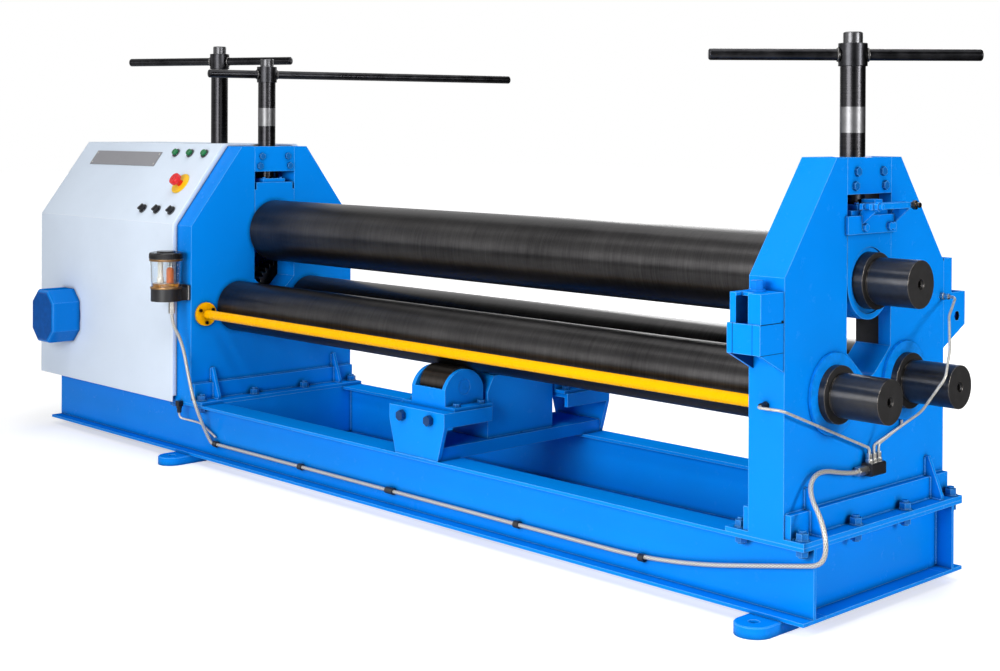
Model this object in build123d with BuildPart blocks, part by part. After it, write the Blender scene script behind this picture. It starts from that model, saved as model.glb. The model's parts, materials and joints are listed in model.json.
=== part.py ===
"""Plate rolling machine with three rolls, built as an assembly of named pieces.

Frame: X runs along the rolls toward the free end, Y to the back, Z up. The origin is on the floor, at the
centre of the four foot bolt holes. Lengths are in millimetres.
"""

import os
from math import atan2, cos, degrees, hypot, pi, radians, sin, sqrt, tan

from build123d import *

os.makedirs("parts", exist_ok=True)

# Fits and gaps
running_fit = 0.08
slide_fit = 0.5
seat_gap = 0.3
press_gap = 0.05
rolling_gap = 0.4

# Base frame
base_width = 622
base_free_end = 50
base_drive_end = 790
beam_height = 160
beam_flange = 80
flange_thick = 8
web_thick = 8
lug_thick = 25
lug_width = 84
lug_hole = 24
lug_reach = 38
lug_tuck = 60

# Housings
housing_gap = 2120
housing_thick = 90
slope_height = 245
screw_room = 35
housing_top_width = 252
slot_width = 172
left_slot_width = 154
slot_taper_above = 81
slot_floor_above = 21
slot_floor_radius = 40
yoke_height = 80
foot_thick = 10
foot_inside = 60
strip_thick = 15
strip_height = 50
strip_inset = 4
gusset_reach = 44
gusset_height = 95
gusset_thick = 10
gusset_y = 235

# Bolts through the feet
foot_bolt = 16
foot_bolt_edge = 20
foot_bolt_middle = 97
foot_bolt_in = 32
nut_across = 24
nut_height = 13
washer_radius = 15
washer_thick = 3

# Rolls
lower_axis_height = 289
lower_spacing = 278
upper_above_lower = 232
upper_diameter = 192
lower_diameter = 155
journal_diameter = 125
upper_stub_diameter = 104
lower_stub_diameter = 96
roll_end_gap = 2
journal_reach = 22
upper_stub_reach = 127
lower_stub_reach = 141
tail_spigot_diameter = 64
tail_spigot_length = 60
stub_groove = 6
stub_groove_depth = 4
centre_hole = 16
centre_hole_depth = 26
bush_wall = 10
bush_flange_thick = 7
lower_bush_flange = 176
bush_recess = 4

# Upper bearing blocks, keepers and lift clamp
block_proud = 0.5
block_shoulder_height = 132
block_height = 154
block_neck_width = 140
keeper_size = 84
keeper_thick = 12
keeper_bolt = 10
clamp_plate_thick = 8
clamp_plate_height = 40
clamp_plate_overlap = 29
clamp_plate_half = 95
strap_thick = 8
strap_height = 13
strap_gap = 16
strap_start = 62
strap_end = 114
strap_rib_inset = 22
strap_tie_inset = 14
clamp_bolt = 12

# Screws and their handles
screw_diameter = 56
screw_neck = 40
screw_collar = 54
screw_collar_height = 30
nut_wall = 15
tail_screw_out = 272
hub_diameter = 64
hub_height = 50
hub_socket = 10
hub_top_diameter = 43
hub_top_height = 25
bar_diameter = 26
bar_mouth = 36
bar_mouth_depth = 7
right_bar_height = 225
left_bar_height = 231
tail_bar_height = 281
right_bar = (284, 318, 45)
left_bar = (889, 195, 74)
tail_bar = (268, 345, 27)

# Tail bracket in the cabinet
tail_bracket_thick = 40
tail_bracket_drop = 20
tail_bracket_half = 280
tail_crease_drop = 45
tail_bracket_top = 220
tail_slot_width = 152
tail_portal_half = 180
tail_portal_height = 370

# Drive
gear_module = 6
gear_teeth = 40
pinion_teeth = 16
gear_width = 60
gear_gap = 45
gear_seat_diameter = 100
tooth_backlash = 1.5
pinion_shaft_diameter = 60
pinion_journal_diameter = 44
pinion_journal_length = 40
motor_x = -1793
motor_height = 213
motor_diameter = 165
motor_flange_diameter = 200
reducer_width = 180
reducer_depth = 220
reducer_height = 320
reducer_foot = 235
reducer_foot_thick = 20
reducer_bore_depth = 60

# Middle support
tie_width = 165
tie_height = 33
tie_wall = 10
stand_thick = 12
stand_height = 125
stand_top_width = 216
table_length = 157
table_depth = 37
table_wall = 12
carrier_width = 131
carrier_length = 134
carrier_wall = 12
carrier_plate_height = 51
carrier_arch_radius = 71
carrier_arch_drop = 26
carrier_flange = 36
carrier_flange_thick = 8
support_roller_diameter = 100
support_axis_out = 64
support_axle_diameter = 40
pedestal_width = 138
pedestal_length = 244
pedestal_height = 163
pedestal_chamfer_out = 22
pedestal_chamfer_down = 41
pedestal_wall = 10

# Safety rail
rail_diameter = 27
rail_inset = 50
rail_drop = 17
rail_flange_diameter = 72
rail_flange_thick = 10

# Brackets on the right housing
bracket_reach = 80
bracket_top_above = 228
bracket_step_above = 165
bracket_floor_above = 103
bracket_rib_above = 63
bracket_wall = 16
bracket_plate = 8
rear_bracket_reach = 96
rear_bracket_width = 60
rear_bracket_above = 263

# Lubrication
cup_radius = 48
cup_height = 91
cup_wall = 3
cap_height = 24
cap_plug_height = 4
oiler_base_height = 38
oiler_x = -1100
oiler_out = 64
oiler_above = 29
oiler_outlet_side = 34
oiler_outlet_length = 36
oiler_arm_half = 30
oiler_plate = 6
oiler_plate_half = 36
oiler_plate_over = 8
hose_radius = 5
pipe_radius = 3
clip_wall = 4
clip_places = ((0.046, 16), (0.249, 16), (0.436, 30), (0.663, 16), (0.852, 16))
manifold_size = (28, 54, 28)
manifold_above = 99
front_port_drop = 10
rear_port_above = 176
fitting_length = 20
fitting_bore = 8

# Cabinet and controls
cabinet_out = 16
cabinet_left_over = 48
cabinet_right_over = 10
cabinet_crease_rise = 4
cabinet_rise = 7
cabinet_top_width = 290
cabinet_drop = 3
sheet = 3
cover_width = 150
cover_height = 176
cover_depth = 100
cover_corner = 40
cover_round = 14
bezel_radius = 15
bezel_height = 4
button_radius = 11
button_height = 9
bezel_wall = 0.9
bezel_barrel = 30
bezel_bore = 22
stem_length = 10
control_spacing = 84
button_row_drop = 40
selector_row_up = 47
selector_rise = 7
grip_width = 7
grip_rise = 6
grip_turn = 58
estop_drop = 158
plate_length = 420
plate_height = 56
plate_inset = 108
plate_drop = 66
estop_collar_radius = 36
estop_radius = 20
estop_stem = 20
estop_head = 14

# Heights and faces worked out from the sizes above
base_bottom = lug_thick
base_top = base_bottom + beam_height
foot_top = base_top + foot_thick
half_width = base_width / 2
web_y = half_width - beam_flange / 2
web_front = half_width - (beam_flange - web_thick) / 2
inner_x = housing_gap / 2
outer_x = inner_x + housing_thick
housing_x = inner_x + housing_thick / 2
base_right = outer_x + base_free_end
base_left = -(outer_x + base_drive_end)
housing_height = lower_axis_height + upper_above_lower + block_height + screw_room + yoke_height
housing_top = base_top + housing_height
crease_z = housing_top - slope_height
yoke_bottom = housing_top - yoke_height
lower_axis_z = base_top + lower_axis_height
upper_axis_z = lower_axis_z + upper_above_lower
lower_y = lower_spacing / 2
upper_radius = upper_diameter / 2
lower_radius = lower_diameter / 2
journal_radius = journal_diameter / 2
bush_radius = journal_radius + running_fit + bush_wall
block_shoulder_z = upper_axis_z + block_shoulder_height
block_top = upper_axis_z + block_height
keeper_top = block_top + keeper_thick
tail_x = -(housing_x + tail_screw_out)
foot_bolt_y = half_width - foot_bolt_edge
foot_bolt_x = [inner_x - foot_bolt_in, outer_x + strip_thick + (base_free_end - strip_thick) / 2]
foot_bolt_hole = foot_bolt / 2 + 1


def save(piece, name):
    """Label a finished piece and write its STEP file."""
    piece.part.label = name
    export_step(piece.part, f"parts/{name}.step")


def gather(parts):
    """Several separate solids as one piece."""
    with BuildPart() as group:
        for part in parts:
            add(part)
    return group


def turned(axis_y, axis_z, start_x, steps, hole_at_end=False):
    """Turned shape along X from steps of (length, radius), with an optional centre hole at its far end."""
    points = [(start_x, 0)]
    x = start_x
    for length, radius in steps:
        points.append((x, radius))
        x += length
        points.append((x, radius))
    if hole_at_end:
        points.append((x, centre_hole / 2 + 4))
        points.append((x - 4, centre_hole / 2))
        points.append((x - centre_hole_depth, centre_hole / 2))
        points.append((x - centre_hole_depth, 0))
    else:
        points.append((x, 0))
    axis_plane = Plane(origin=(0, axis_y, axis_z), x_dir=(1, 0, 0), z_dir=(0, -1, 0))
    with BuildPart() as shape:
        with BuildSketch(axis_plane):
            with BuildLine():
                Polyline(*points, close=True)
            make_face()
        revolve(axis=Axis((0, axis_y, axis_z), (1, 0, 0)))
    return shape


def upright(x, y, steps, start_z):
    """Turned shape along Z from steps of (length, radius)."""
    with BuildPart() as shape:
        z = start_z
        for length, radius in steps:
            with BuildSketch(Plane.XY.offset(z)):
                with Locations((x, y)):
                    Circle(radius)
            extrude(amount=length)
            z += length
    return shape


def hex_bolt(plane, across, head, radius, length):
    """Hex bolt whose head stands on the plane and whose shank goes below it."""
    with BuildPart() as bolt:
        with BuildSketch(plane):
            RegularPolygon(across / 2, 6, major_radius=False)
        extrude(amount=head)
        with BuildSketch(plane):
            Circle(radius)
        extrude(amount=-length)
    return bolt.part


def tube_along(points, radii, radius):
    """Round pipe or hose along straight runs joined by arcs."""
    with BuildPart() as tube:
        with BuildLine() as route:
            FilletPolyline(*points, radius=radii)
        with BuildSketch(Plane(origin=route.wire() @ 0, z_dir=route.wire() % 0)):
            Circle(radius)
        sweep()
    return tube.part


# Base frame: two flanged beams, cross channels between them and four foot lugs
def make_beam(side):
    """Flanged beam at the front (side -1) or the back (side 1)."""
    with BuildPart() as beam:
        with BuildSketch(Plane.YZ.offset(base_left)):
            with Locations((side * web_y, base_bottom + beam_height / 2)):
                Rectangle(beam_flange, beam_height)
            for hand in (-1, 1):
                pocket_y = side * web_y + hand * (beam_flange + web_thick) / 4
                with Locations((pocket_y, base_bottom + beam_height / 2)):
                    pocket_height = beam_height - 2 * flange_thick
                    Rectangle((beam_flange - web_thick) / 2, pocket_height, mode=Mode.SUBTRACT)
        extrude(amount=base_right - base_left)
        bolt_places = [(end * x, side * foot_bolt_y, base_top) for end in (-1, 1) for x in foot_bolt_x]
        with Locations(*bolt_places):
            Hole(foot_bolt_hole, 2 * flange_thick)
    return beam


def cross_channel(web_x, hand, bolt_x=None):
    """Channel between the beams, with its flanges pointing along X to the given hand."""
    inside = base_width - 2 * beam_flange
    with BuildPart() as channel:
        with Locations((web_x + hand * web_thick / 2, 0, base_bottom + beam_height / 2)):
            Box(web_thick, 2 * web_y - web_thick, beam_height - 2 * flange_thick)
        for z in (base_bottom + flange_thick / 2, base_top - flange_thick / 2):
            with Locations((web_x + hand * base_free_end / 2, 0, z)):
                Box(base_free_end, inside, flange_thick)
        if bolt_x is not None:
            with Locations(*[(bolt_x, y, base_top) for y in (-foot_bolt_middle, foot_bolt_middle)]):
                Hole(foot_bolt_hole, 2 * flange_thick)
    return channel.part


base_front_beam = make_beam(-1)
save(base_front_beam, "base_front_beam")
base_rear_beam = make_beam(1)
save(base_rear_beam, "base_rear_beam")

reducer_right = motor_x + reducer_foot / 2
reducer_rail_x = reducer_right - 15
channels = []
for end in (-1, 1):
    channels.append(cross_channel(end * (inner_x - foot_inside), end, end * foot_bolt_x[0]))
    channels.append(cross_channel(end * outer_x, end, end * foot_bolt_x[1]))
channels.append(cross_channel(reducer_rail_x, -1))
channels.append(cross_channel(base_left + base_free_end, -1))
base_cross_beams = gather(channels)
save(base_cross_beams, "base_cross_beams")

lug_hole_y = half_width + lug_reach


def foot_lug(end, side):
    """Thick foot plate with a rounded outer end and an anchor bolt hole."""
    with BuildPart() as lug:
        with BuildSketch():
            with Locations((end * housing_x, side * lug_hole_y)):
                Circle(lug_width / 2)
            tail = lug_hole_y - half_width + lug_tuck
            with Locations((end * housing_x, side * (lug_hole_y - tail / 2))):
                Rectangle(lug_width, tail)
            with Locations((end * housing_x, side * lug_hole_y)):
                Circle(lug_hole / 2, mode=Mode.SUBTRACT)
        extrude(amount=lug_thick)
        top_edges = lug.faces().sort_by(Axis.Z)[-1].edges().filter_by(GeomType.CIRCLE)
        chamfer(top_edges.sort_by(SortBy.RADIUS)[-1:], 2)
    return lug.part


foot_lugs = gather([foot_lug(end, side) for end in (-1, 1) for side in (-1, 1)])
save(foot_lugs, "foot_lugs")


# Housings: slotted plates with a sloped top, on a foot plate with strips and gussets
slot_taper_z = lower_axis_z + slot_taper_above
slot_floor_z = lower_axis_z + slot_floor_above
pinion_drop = sqrt(((gear_teeth + pinion_teeth) * gear_module / 2) ** 2 - lower_y**2)
pinion_z = lower_axis_z - pinion_drop

slot_widths = {-1: left_slot_width, 1: slot_width}


def slot_shape(width):
    """Slot of one housing in its end view, with a tapered lower end."""
    with BuildSketch() as slot:
        with BuildLine():
            CenterArc((0, slot_floor_z + slot_floor_radius), slot_floor_radius, 0, 360)
            Line((-width / 2, slot_taper_z), (width / 2, slot_taper_z))
        make_hull()
        with Locations((0, slot_taper_z)):
            Rectangle(width, housing_top - slot_taper_z, align=(Align.CENTER, Align.MIN))
    return slot.sketch


def make_housing(end):
    """Housing plate at the drive end (-1) or the free end (1)."""
    low_x = min(end * inner_x, end * outer_x)
    slot = slot_shape(slot_widths[end])
    foot_width = foot_inside + housing_thick + base_free_end
    with BuildPart() as housing:
        with BuildSketch(Plane.YZ.offset(low_x)):
            with BuildLine():
                Polyline(
                    (-half_width, foot_top),
                    (-half_width, crease_z),
                    (-housing_top_width / 2, housing_top),
                    (housing_top_width / 2, housing_top),
                    (half_width, crease_z),
                    (half_width, foot_top),
                    close=True,
                )
            make_face()
            add(slot, mode=Mode.SUBTRACT)
            with Locations((-lower_y, lower_axis_z), (lower_y, lower_axis_z)):
                Circle(bush_radius + press_gap, mode=Mode.SUBTRACT)
        extrude(amount=housing_thick)
        with Locations((end * (inner_x - foot_inside + foot_width / 2), 0, base_top + foot_thick / 2)):
            Box(foot_width, base_width, foot_thick)
        strip_length = base_width - 2 * strip_inset
        for face_x, hand in ((outer_x, 1), (inner_x, -1)):
            with Locations((end * (face_x + hand * strip_thick / 2), 0, foot_top + strip_height / 2)):
                Box(strip_thick, strip_length, strip_height)
            for y in (-gusset_y, gusset_y):
                with BuildSketch(Plane.XZ.offset(-y)):
                    with BuildLine():
                        Polyline(
                            (end * face_x, foot_top),
                            (end * (face_x + hand * gusset_reach), foot_top),
                            (end * (face_x + hand * gusset_reach), foot_top + gusset_thick),
                            (end * (face_x + hand * gusset_thick), foot_top + gusset_height),
                            (end * face_x, foot_top + gusset_height),
                            close=True,
                        )
                    make_face()
                extrude(amount=gusset_thick / 2, both=True)
        bolt_ys = (-foot_bolt_y, -foot_bolt_middle, foot_bolt_middle, foot_bolt_y)
        with Locations(*[(end * x, y, foot_top) for x in foot_bolt_x for y in bolt_ys]):
            Hole(foot_bolt_hole, 2 * foot_thick)
        if end < 0:
            with BuildSketch(Plane.YZ.offset(-outer_x)):
                with Locations((0, pinion_z)):
                    Circle(pinion_journal_diameter / 2 + running_fit)
            extrude(amount=pinion_journal_length + 2, mode=Mode.SUBTRACT)
    return housing


left_housing = make_housing(-1)
save(left_housing, "left_housing")
right_housing = make_housing(1)
save(right_housing, "right_housing")

# Yoke caps with the screw nuts
nut_radius = screw_diameter / 2 + nut_wall
yoke_bolt = 12
yoke_bolt_depth = 28
yoke_bolt_rows = [(50, housing_top - 31), (58, housing_top - 62)]


def yoke_bolt_planes(end):
    """Planes of the yoke's bolt heads on both faces of one housing."""
    planes = []
    for face_x, hand in ((outer_x, 1), (inner_x, -1)):
        for y, z in yoke_bolt_rows:
            for side in (-1, 1):
                planes.append(Plane(origin=(end * face_x, side * y, z), z_dir=(end * hand, 0, 0)))
    return planes


def yoke_cap(end):
    """Block that closes the slot's top and holds the screw nut."""
    with BuildPart() as cap:
        with Locations((end * housing_x, 0, yoke_bottom + yoke_height / 2)):
            Box(housing_thick, slot_widths[end], yoke_height)
        with Locations((end * housing_x, 0, housing_top)):
            Hole(nut_radius + press_gap, yoke_height)
        for plane in yoke_bolt_planes(end):
            with BuildSketch(plane):
                Circle(yoke_bolt / 2 + 0.2)
            extrude(amount=-yoke_bolt_depth - 1, mode=Mode.SUBTRACT)
    return cap.part


yoke_caps = gather([yoke_cap(end) for end in (-1, 1)])
save(yoke_caps, "yoke_caps")

tail_top = housing_top - tail_bracket_drop


def screw_nut(x, bottom, top):
    """Bronze nut of one screw."""
    with BuildPart() as nut:
        with BuildSketch(Plane.XY.offset(bottom)):
            with Locations((x, 0)):
                Circle(nut_radius)
                Circle(screw_diameter / 2 + running_fit, mode=Mode.SUBTRACT)
        extrude(amount=top - bottom)
    return nut.part


screw_nuts = gather(
    [
        screw_nut(housing_x, yoke_bottom, housing_top),
        screw_nut(-housing_x, yoke_bottom, housing_top),
        screw_nut(tail_x, yoke_bottom, tail_top),
    ]
)
save(screw_nuts, "screw_nuts")

# Foot bolts with nuts above the foot plate and below the flange
def foot_stud(x, y):
    """Stud with a washer and nut above the foot plate and a nut below the flange."""
    with BuildPart() as stud:
        below = base_top - flange_thick - nut_height
        above = foot_top + washer_thick + nut_height
        with BuildSketch(Plane.XY.offset(below - 4)):
            with Locations((x, y)):
                Circle(foot_bolt / 2)
        extrude(amount=above + 5 - below + 4)
        with BuildSketch(Plane.XY.offset(foot_top)):
            with Locations((x, y)):
                Circle(washer_radius)
        extrude(amount=washer_thick)
        with BuildSketch(Plane.XY.offset(foot_top + washer_thick), Plane.XY.offset(below)):
            with Locations((x, y)):
                RegularPolygon(nut_across / 2, 6, major_radius=False)
        extrude(amount=nut_height)
    return stud.part


bolt_rows = (-foot_bolt_y, -foot_bolt_middle, foot_bolt_middle, foot_bolt_y)
base_bolts = gather([foot_stud(end * x, y) for end in (-1, 1) for x in foot_bolt_x for y in bolt_rows])
save(base_bolts, "base_bolts")

# Bushes of the lower rolls, with their round flanges outside the housings
def flanged_bush(low_x, length, axis_y, axis_z, flange_diameter, hand):
    """Bush along X with a flange past its end on the given hand."""
    flange_x = low_x + length if hand > 0 else low_x - bush_flange_thick
    with BuildPart() as bush:
        with BuildSketch(Plane.YZ.offset(low_x)):
            with Locations((axis_y, axis_z)):
                Circle(bush_radius)
        extrude(amount=length)
        with BuildSketch(Plane.YZ.offset(flange_x)):
            with Locations((axis_y, axis_z)):
                Circle(flange_diameter / 2)
        extrude(amount=bush_flange_thick)
        with BuildSketch(Plane.YZ.offset(low_x - bush_flange_thick)):
            with Locations((axis_y, axis_z)):
                Circle(journal_radius + running_fit)
        extrude(amount=length + 2 * bush_flange_thick, mode=Mode.SUBTRACT)
    return bush.part


lower_bushes = gather(
    [
        flanged_bush(
            min(end * inner_x, end * outer_x), housing_thick, y, lower_axis_z, lower_bush_flange, end
        )
        for end in (-1, 1)
        for y in (-lower_y, lower_y)
    ]
)
save(lower_bushes, "lower_bushes")

# Rolls
gear_x = -(outer_x + gear_gap + gear_width)
lower_start_x = gear_x - 15
journal_end_x = outer_x + journal_reach
roll_face = inner_x - roll_end_gap


def lower_roll(y):
    """Lower roll with a gear seat at the drive end and a stepped stub at the free end."""
    stub_radius = lower_stub_diameter / 2
    steps = [
        (gear_width + gear_gap - bush_flange_thick, gear_seat_diameter / 2),
        (-roll_face - lower_start_x - gear_width - gear_gap + bush_flange_thick, journal_radius),
        (2 * roll_face, lower_radius),
        (journal_end_x - roll_face, journal_radius),
        (stub_groove, stub_radius - stub_groove_depth),
        (lower_stub_reach - journal_reach - stub_groove, stub_radius),
    ]
    return turned(y, lower_axis_z, lower_start_x, steps, hole_at_end=True)


lower_front_roll = lower_roll(-lower_y)
save(lower_front_roll, "lower_front_roll")
lower_rear_roll = lower_roll(lower_y)
save(lower_rear_roll, "lower_rear_roll")

tail_block_thick = tail_bracket_thick + 20
upper_start_x = tail_x - tail_block_thick / 2 - 30
tail_step_x = -(outer_x + bush_flange_thick)
upper_stub_radius = upper_stub_diameter / 2
upper_steps = [
    (-roll_face - tail_step_x, journal_radius),
    (2 * roll_face, upper_radius),
    (journal_end_x - roll_face, journal_radius),
    (stub_groove, upper_stub_radius - stub_groove_depth),
    (upper_stub_reach - journal_reach - stub_groove, upper_stub_radius),
]
tail_steps = [
    (tail_step_x - seat_gap - upper_start_x, upper_stub_radius),
    (tail_spigot_length, tail_spigot_diameter / 2),
]
with BuildPart() as roll_body:
    add(turned(0, upper_axis_z, tail_step_x, upper_steps, hole_at_end=True).part)
    with BuildSketch(Plane.YZ.offset(tail_step_x)):
        with Locations((0, upper_axis_z)):
            Circle(tail_spigot_diameter / 2 + press_gap)
    extrude(amount=tail_spigot_length + seat_gap, mode=Mode.SUBTRACT)
tail_shaft = turned(0, upper_axis_z, upper_start_x, tail_steps)
upper_roll = gather([roll_body.part, tail_shaft.part])
save(upper_roll, "upper_roll")


# Gears of the lower rolls and the pinion that drives both of them
def gear_outline(teeth, phase):
    """Corner points of a spur gear, with a tooth centred on the phase angle in degrees."""
    pitch_radius = teeth * gear_module / 2
    tip_radius = pitch_radius + 0.95 * gear_module
    root_radius = pitch_radius - 1.2 * gear_module
    half_tooth = pi * gear_module / 4 - tooth_backlash / 2
    tip_half = (half_tooth - 0.95 * gear_module * tan(radians(20))) / tip_radius
    root_half = (half_tooth + 1.2 * gear_module * tan(radians(20))) / root_radius
    points = []
    for tooth in range(teeth):
        centre = radians(phase) + 2 * pi * tooth / teeth
        for radius, turn in (
            (root_radius, -root_half),
            (tip_radius, -tip_half),
            (tip_radius, tip_half),
            (root_radius, root_half),
        ):
            points.append((radius * cos(centre + turn), radius * sin(centre + turn)))
    return points


pinion_phase = degrees(atan2(pinion_drop, lower_y))


def gear_phase(side):
    """Phase that puts a gap of the roll's gear on the pinion's nearest tooth."""
    toward = degrees(atan2(pinion_drop, side * lower_y))
    pinion_pitch = 360 / pinion_teeth
    offset = (pinion_phase - toward) % pinion_pitch
    return toward + 180 - offset * pinion_teeth / gear_teeth + 180 / gear_teeth


def roll_gear(side):
    """Spur gear on the drive end of a lower roll."""
    with BuildPart() as gear:
        with BuildSketch(Plane.YZ.offset(gear_x)):
            with Locations((side * lower_y, lower_axis_z)):
                Polygon(*gear_outline(gear_teeth, gear_phase(side)), align=None)
                Circle(gear_seat_diameter / 2 + press_gap, mode=Mode.SUBTRACT)
        extrude(amount=gear_width)
    return gear


front_roll_gear = roll_gear(-1)
save(front_roll_gear, "front_roll_gear")
rear_roll_gear = roll_gear(1)
save(rear_roll_gear, "rear_roll_gear")

reducer_face_x = motor_x + reducer_width / 2
shaft_end_x = reducer_face_x - reducer_bore_depth + 5
with BuildPart() as drive_pinion:
    with BuildSketch(Plane.YZ.offset(gear_x - 2)):
        with Locations((0, pinion_z)):
            Polygon(*gear_outline(pinion_teeth, pinion_phase), align=None)
    extrude(amount=gear_width + 4)
    with BuildSketch(Plane.YZ.offset(shaft_end_x)):
        with Locations((0, pinion_z)):
            Circle(pinion_shaft_diameter / 2)
    extrude(amount=gear_x - shaft_end_x)
    with BuildSketch(Plane.YZ.offset(gear_x)):
        with Locations((0, pinion_z)):
            Circle(pinion_journal_diameter / 2)
    extrude(amount=-outer_x + pinion_journal_length - gear_x)
save(drive_pinion, "drive_pinion")

# Gear reducer and motor on the base, inside the cabinet
motor_z = base_top + motor_height
with BuildPart() as gear_reducer:
    with Locations((motor_x, 0, base_top + reducer_foot_thick / 2)):
        Box(reducer_foot, reducer_depth + 40, reducer_foot_thick)
    with Locations((motor_x, 0, base_top + reducer_foot_thick + (reducer_height - reducer_foot_thick) / 2)):
        Box(reducer_width, reducer_depth, reducer_height - reducer_foot_thick)
    fillet(gear_reducer.edges().filter_by(Axis.Z).group_by(Axis.Z)[-1], 12)
    with BuildSketch(Plane.YZ.offset(reducer_face_x)):
        with Locations((0, pinion_z)):
            Circle(pinion_shaft_diameter)
    extrude(amount=25)
    with BuildSketch(Plane.YZ.offset(reducer_face_x - reducer_bore_depth)):
        with Locations((0, pinion_z)):
            Circle(pinion_shaft_diameter / 2 + running_fit)
    extrude(amount=reducer_bore_depth + 25, mode=Mode.SUBTRACT)
save(gear_reducer, "gear_reducer")

cabinet_front = half_width + cabinet_out
motor_nose = cabinet_front + cover_depth * 0.3
with BuildPart() as motor:
    with BuildSketch(Plane.XZ.offset(reducer_depth / 2)):
        with Locations((motor_x, motor_z)):
            Circle(motor_flange_diameter / 2)
    extrude(amount=15)
    with BuildSketch(Plane.XZ.offset(reducer_depth / 2 + 15)):
        with Locations((motor_x, motor_z)):
            Circle(motor_diameter / 2)
            with PolarLocations(motor_diameter / 2, 12):
                Rectangle(12, 4)
    extrude(amount=cabinet_front - 40 - reducer_depth / 2 - 15)
    with BuildSketch(Plane.XZ.offset(cabinet_front - 40)):
        with Locations((motor_x, motor_z)):
            Circle(motor_diameter / 2 - 15)
    extrude(amount=motor_nose - cabinet_front + 40)
    with Locations((motor_x, -(reducer_depth / 2 + 80), motor_z + motor_diameter / 2 + 15)):
        Box(90, 90, 50)
save(motor, "motor")


# Upper bearing blocks, their bushes, keepers and the lift clamp
def bearing_block(centre_x, thick, width, neck_width):
    """Block with a round bottom that slides in a slot and carries the upper roll."""
    with BuildPart() as block:
        with BuildSketch(Plane.YZ.offset(centre_x - thick / 2)):
            with Locations((0, upper_axis_z)):
                Circle(width / 2)
            with Locations((0, upper_axis_z)):
                Rectangle(width, block_shoulder_height, align=(Align.CENTER, Align.MIN))
                Rectangle(neck_width, block_height, align=(Align.CENTER, Align.MIN))
            with Locations((0, upper_axis_z)):
                Circle(bush_radius + press_gap, mode=Mode.SUBTRACT)
        extrude(amount=thick)
        with Locations((centre_x, 0, block_top)):
            Hole(screw_collar / 2 + seat_gap, screw_collar_height + 2 * seat_gap)
    return block


block_thick = housing_thick + 2 * block_proud
right_bearing_block = bearing_block(
    housing_x, block_thick, slot_width - 2 * slide_fit, block_neck_width
)
save(right_bearing_block, "right_bearing_block")
left_bearing_block = bearing_block(
    -housing_x, block_thick, left_slot_width - 2 * slide_fit, block_neck_width
)
save(left_bearing_block, "left_bearing_block")

tail_bush_radius = upper_stub_radius + running_fit + bush_wall
with BuildPart() as tail_bearing_block:
    with BuildSketch(Plane.YZ.offset(tail_x - tail_block_thick / 2)):
        with Locations((0, upper_axis_z)):
            Circle(tail_slot_width / 2 - slide_fit)
            Rectangle(tail_slot_width - 2 * slide_fit, block_height, align=(Align.CENTER, Align.MIN))
        with Locations((0, upper_axis_z)):
            Circle(tail_bush_radius + press_gap, mode=Mode.SUBTRACT)
    extrude(amount=tail_block_thick)
    with Locations((tail_x, 0, block_top)):
        Hole(screw_collar / 2 + seat_gap, screw_collar_height + 2 * seat_gap)
save(tail_bearing_block, "tail_bearing_block")

bush_length = block_thick - 2 * bush_recess


def plain_bush(centre_x, length, outer_radius, bore_radius):
    """Plain bush of the upper roll along X."""
    with BuildPart() as bush:
        with BuildSketch(Plane.YZ.offset(centre_x - length / 2)):
            with Locations((0, upper_axis_z)):
                Circle(outer_radius)
                Circle(bore_radius + running_fit, mode=Mode.SUBTRACT)
        extrude(amount=length)
    return bush.part


upper_bushes = gather(
    [
        plain_bush(housing_x, bush_length, bush_radius, journal_radius),
        plain_bush(-housing_x, bush_length, bush_radius, journal_radius),
        plain_bush(tail_x, tail_block_thick, tail_bush_radius, upper_stub_radius),
    ]
)
save(upper_bushes, "upper_bushes")


def screw_keeper(x, width):
    """Plate on a block's top that holds the screw's collar in its pocket."""
    with BuildPart() as keeper:
        with BuildSketch(Plane.XY.offset(block_top)):
            with Locations((x, 0)):
                Rectangle(width, keeper_size)
                Circle(screw_neck / 2 + slide_fit, mode=Mode.SUBTRACT)
        extrude(amount=keeper_thick)
        with BuildSketch(Plane.XY.offset(keeper_top)):
            with Locations((x, 0)):
                with GridLocations(width - 2 * keeper_bolt, keeper_size - 2 * keeper_bolt, 2, 2):
                    Circle(keeper_bolt / 2)
        extrude(amount=4)
    return keeper.part


screw_keepers = gather(
    [
        screw_keeper(housing_x, keeper_size),
        screw_keeper(-housing_x, keeper_size),
        screw_keeper(tail_x, tail_block_thick),
    ]
)
save(screw_keepers, "screw_keepers")

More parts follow.
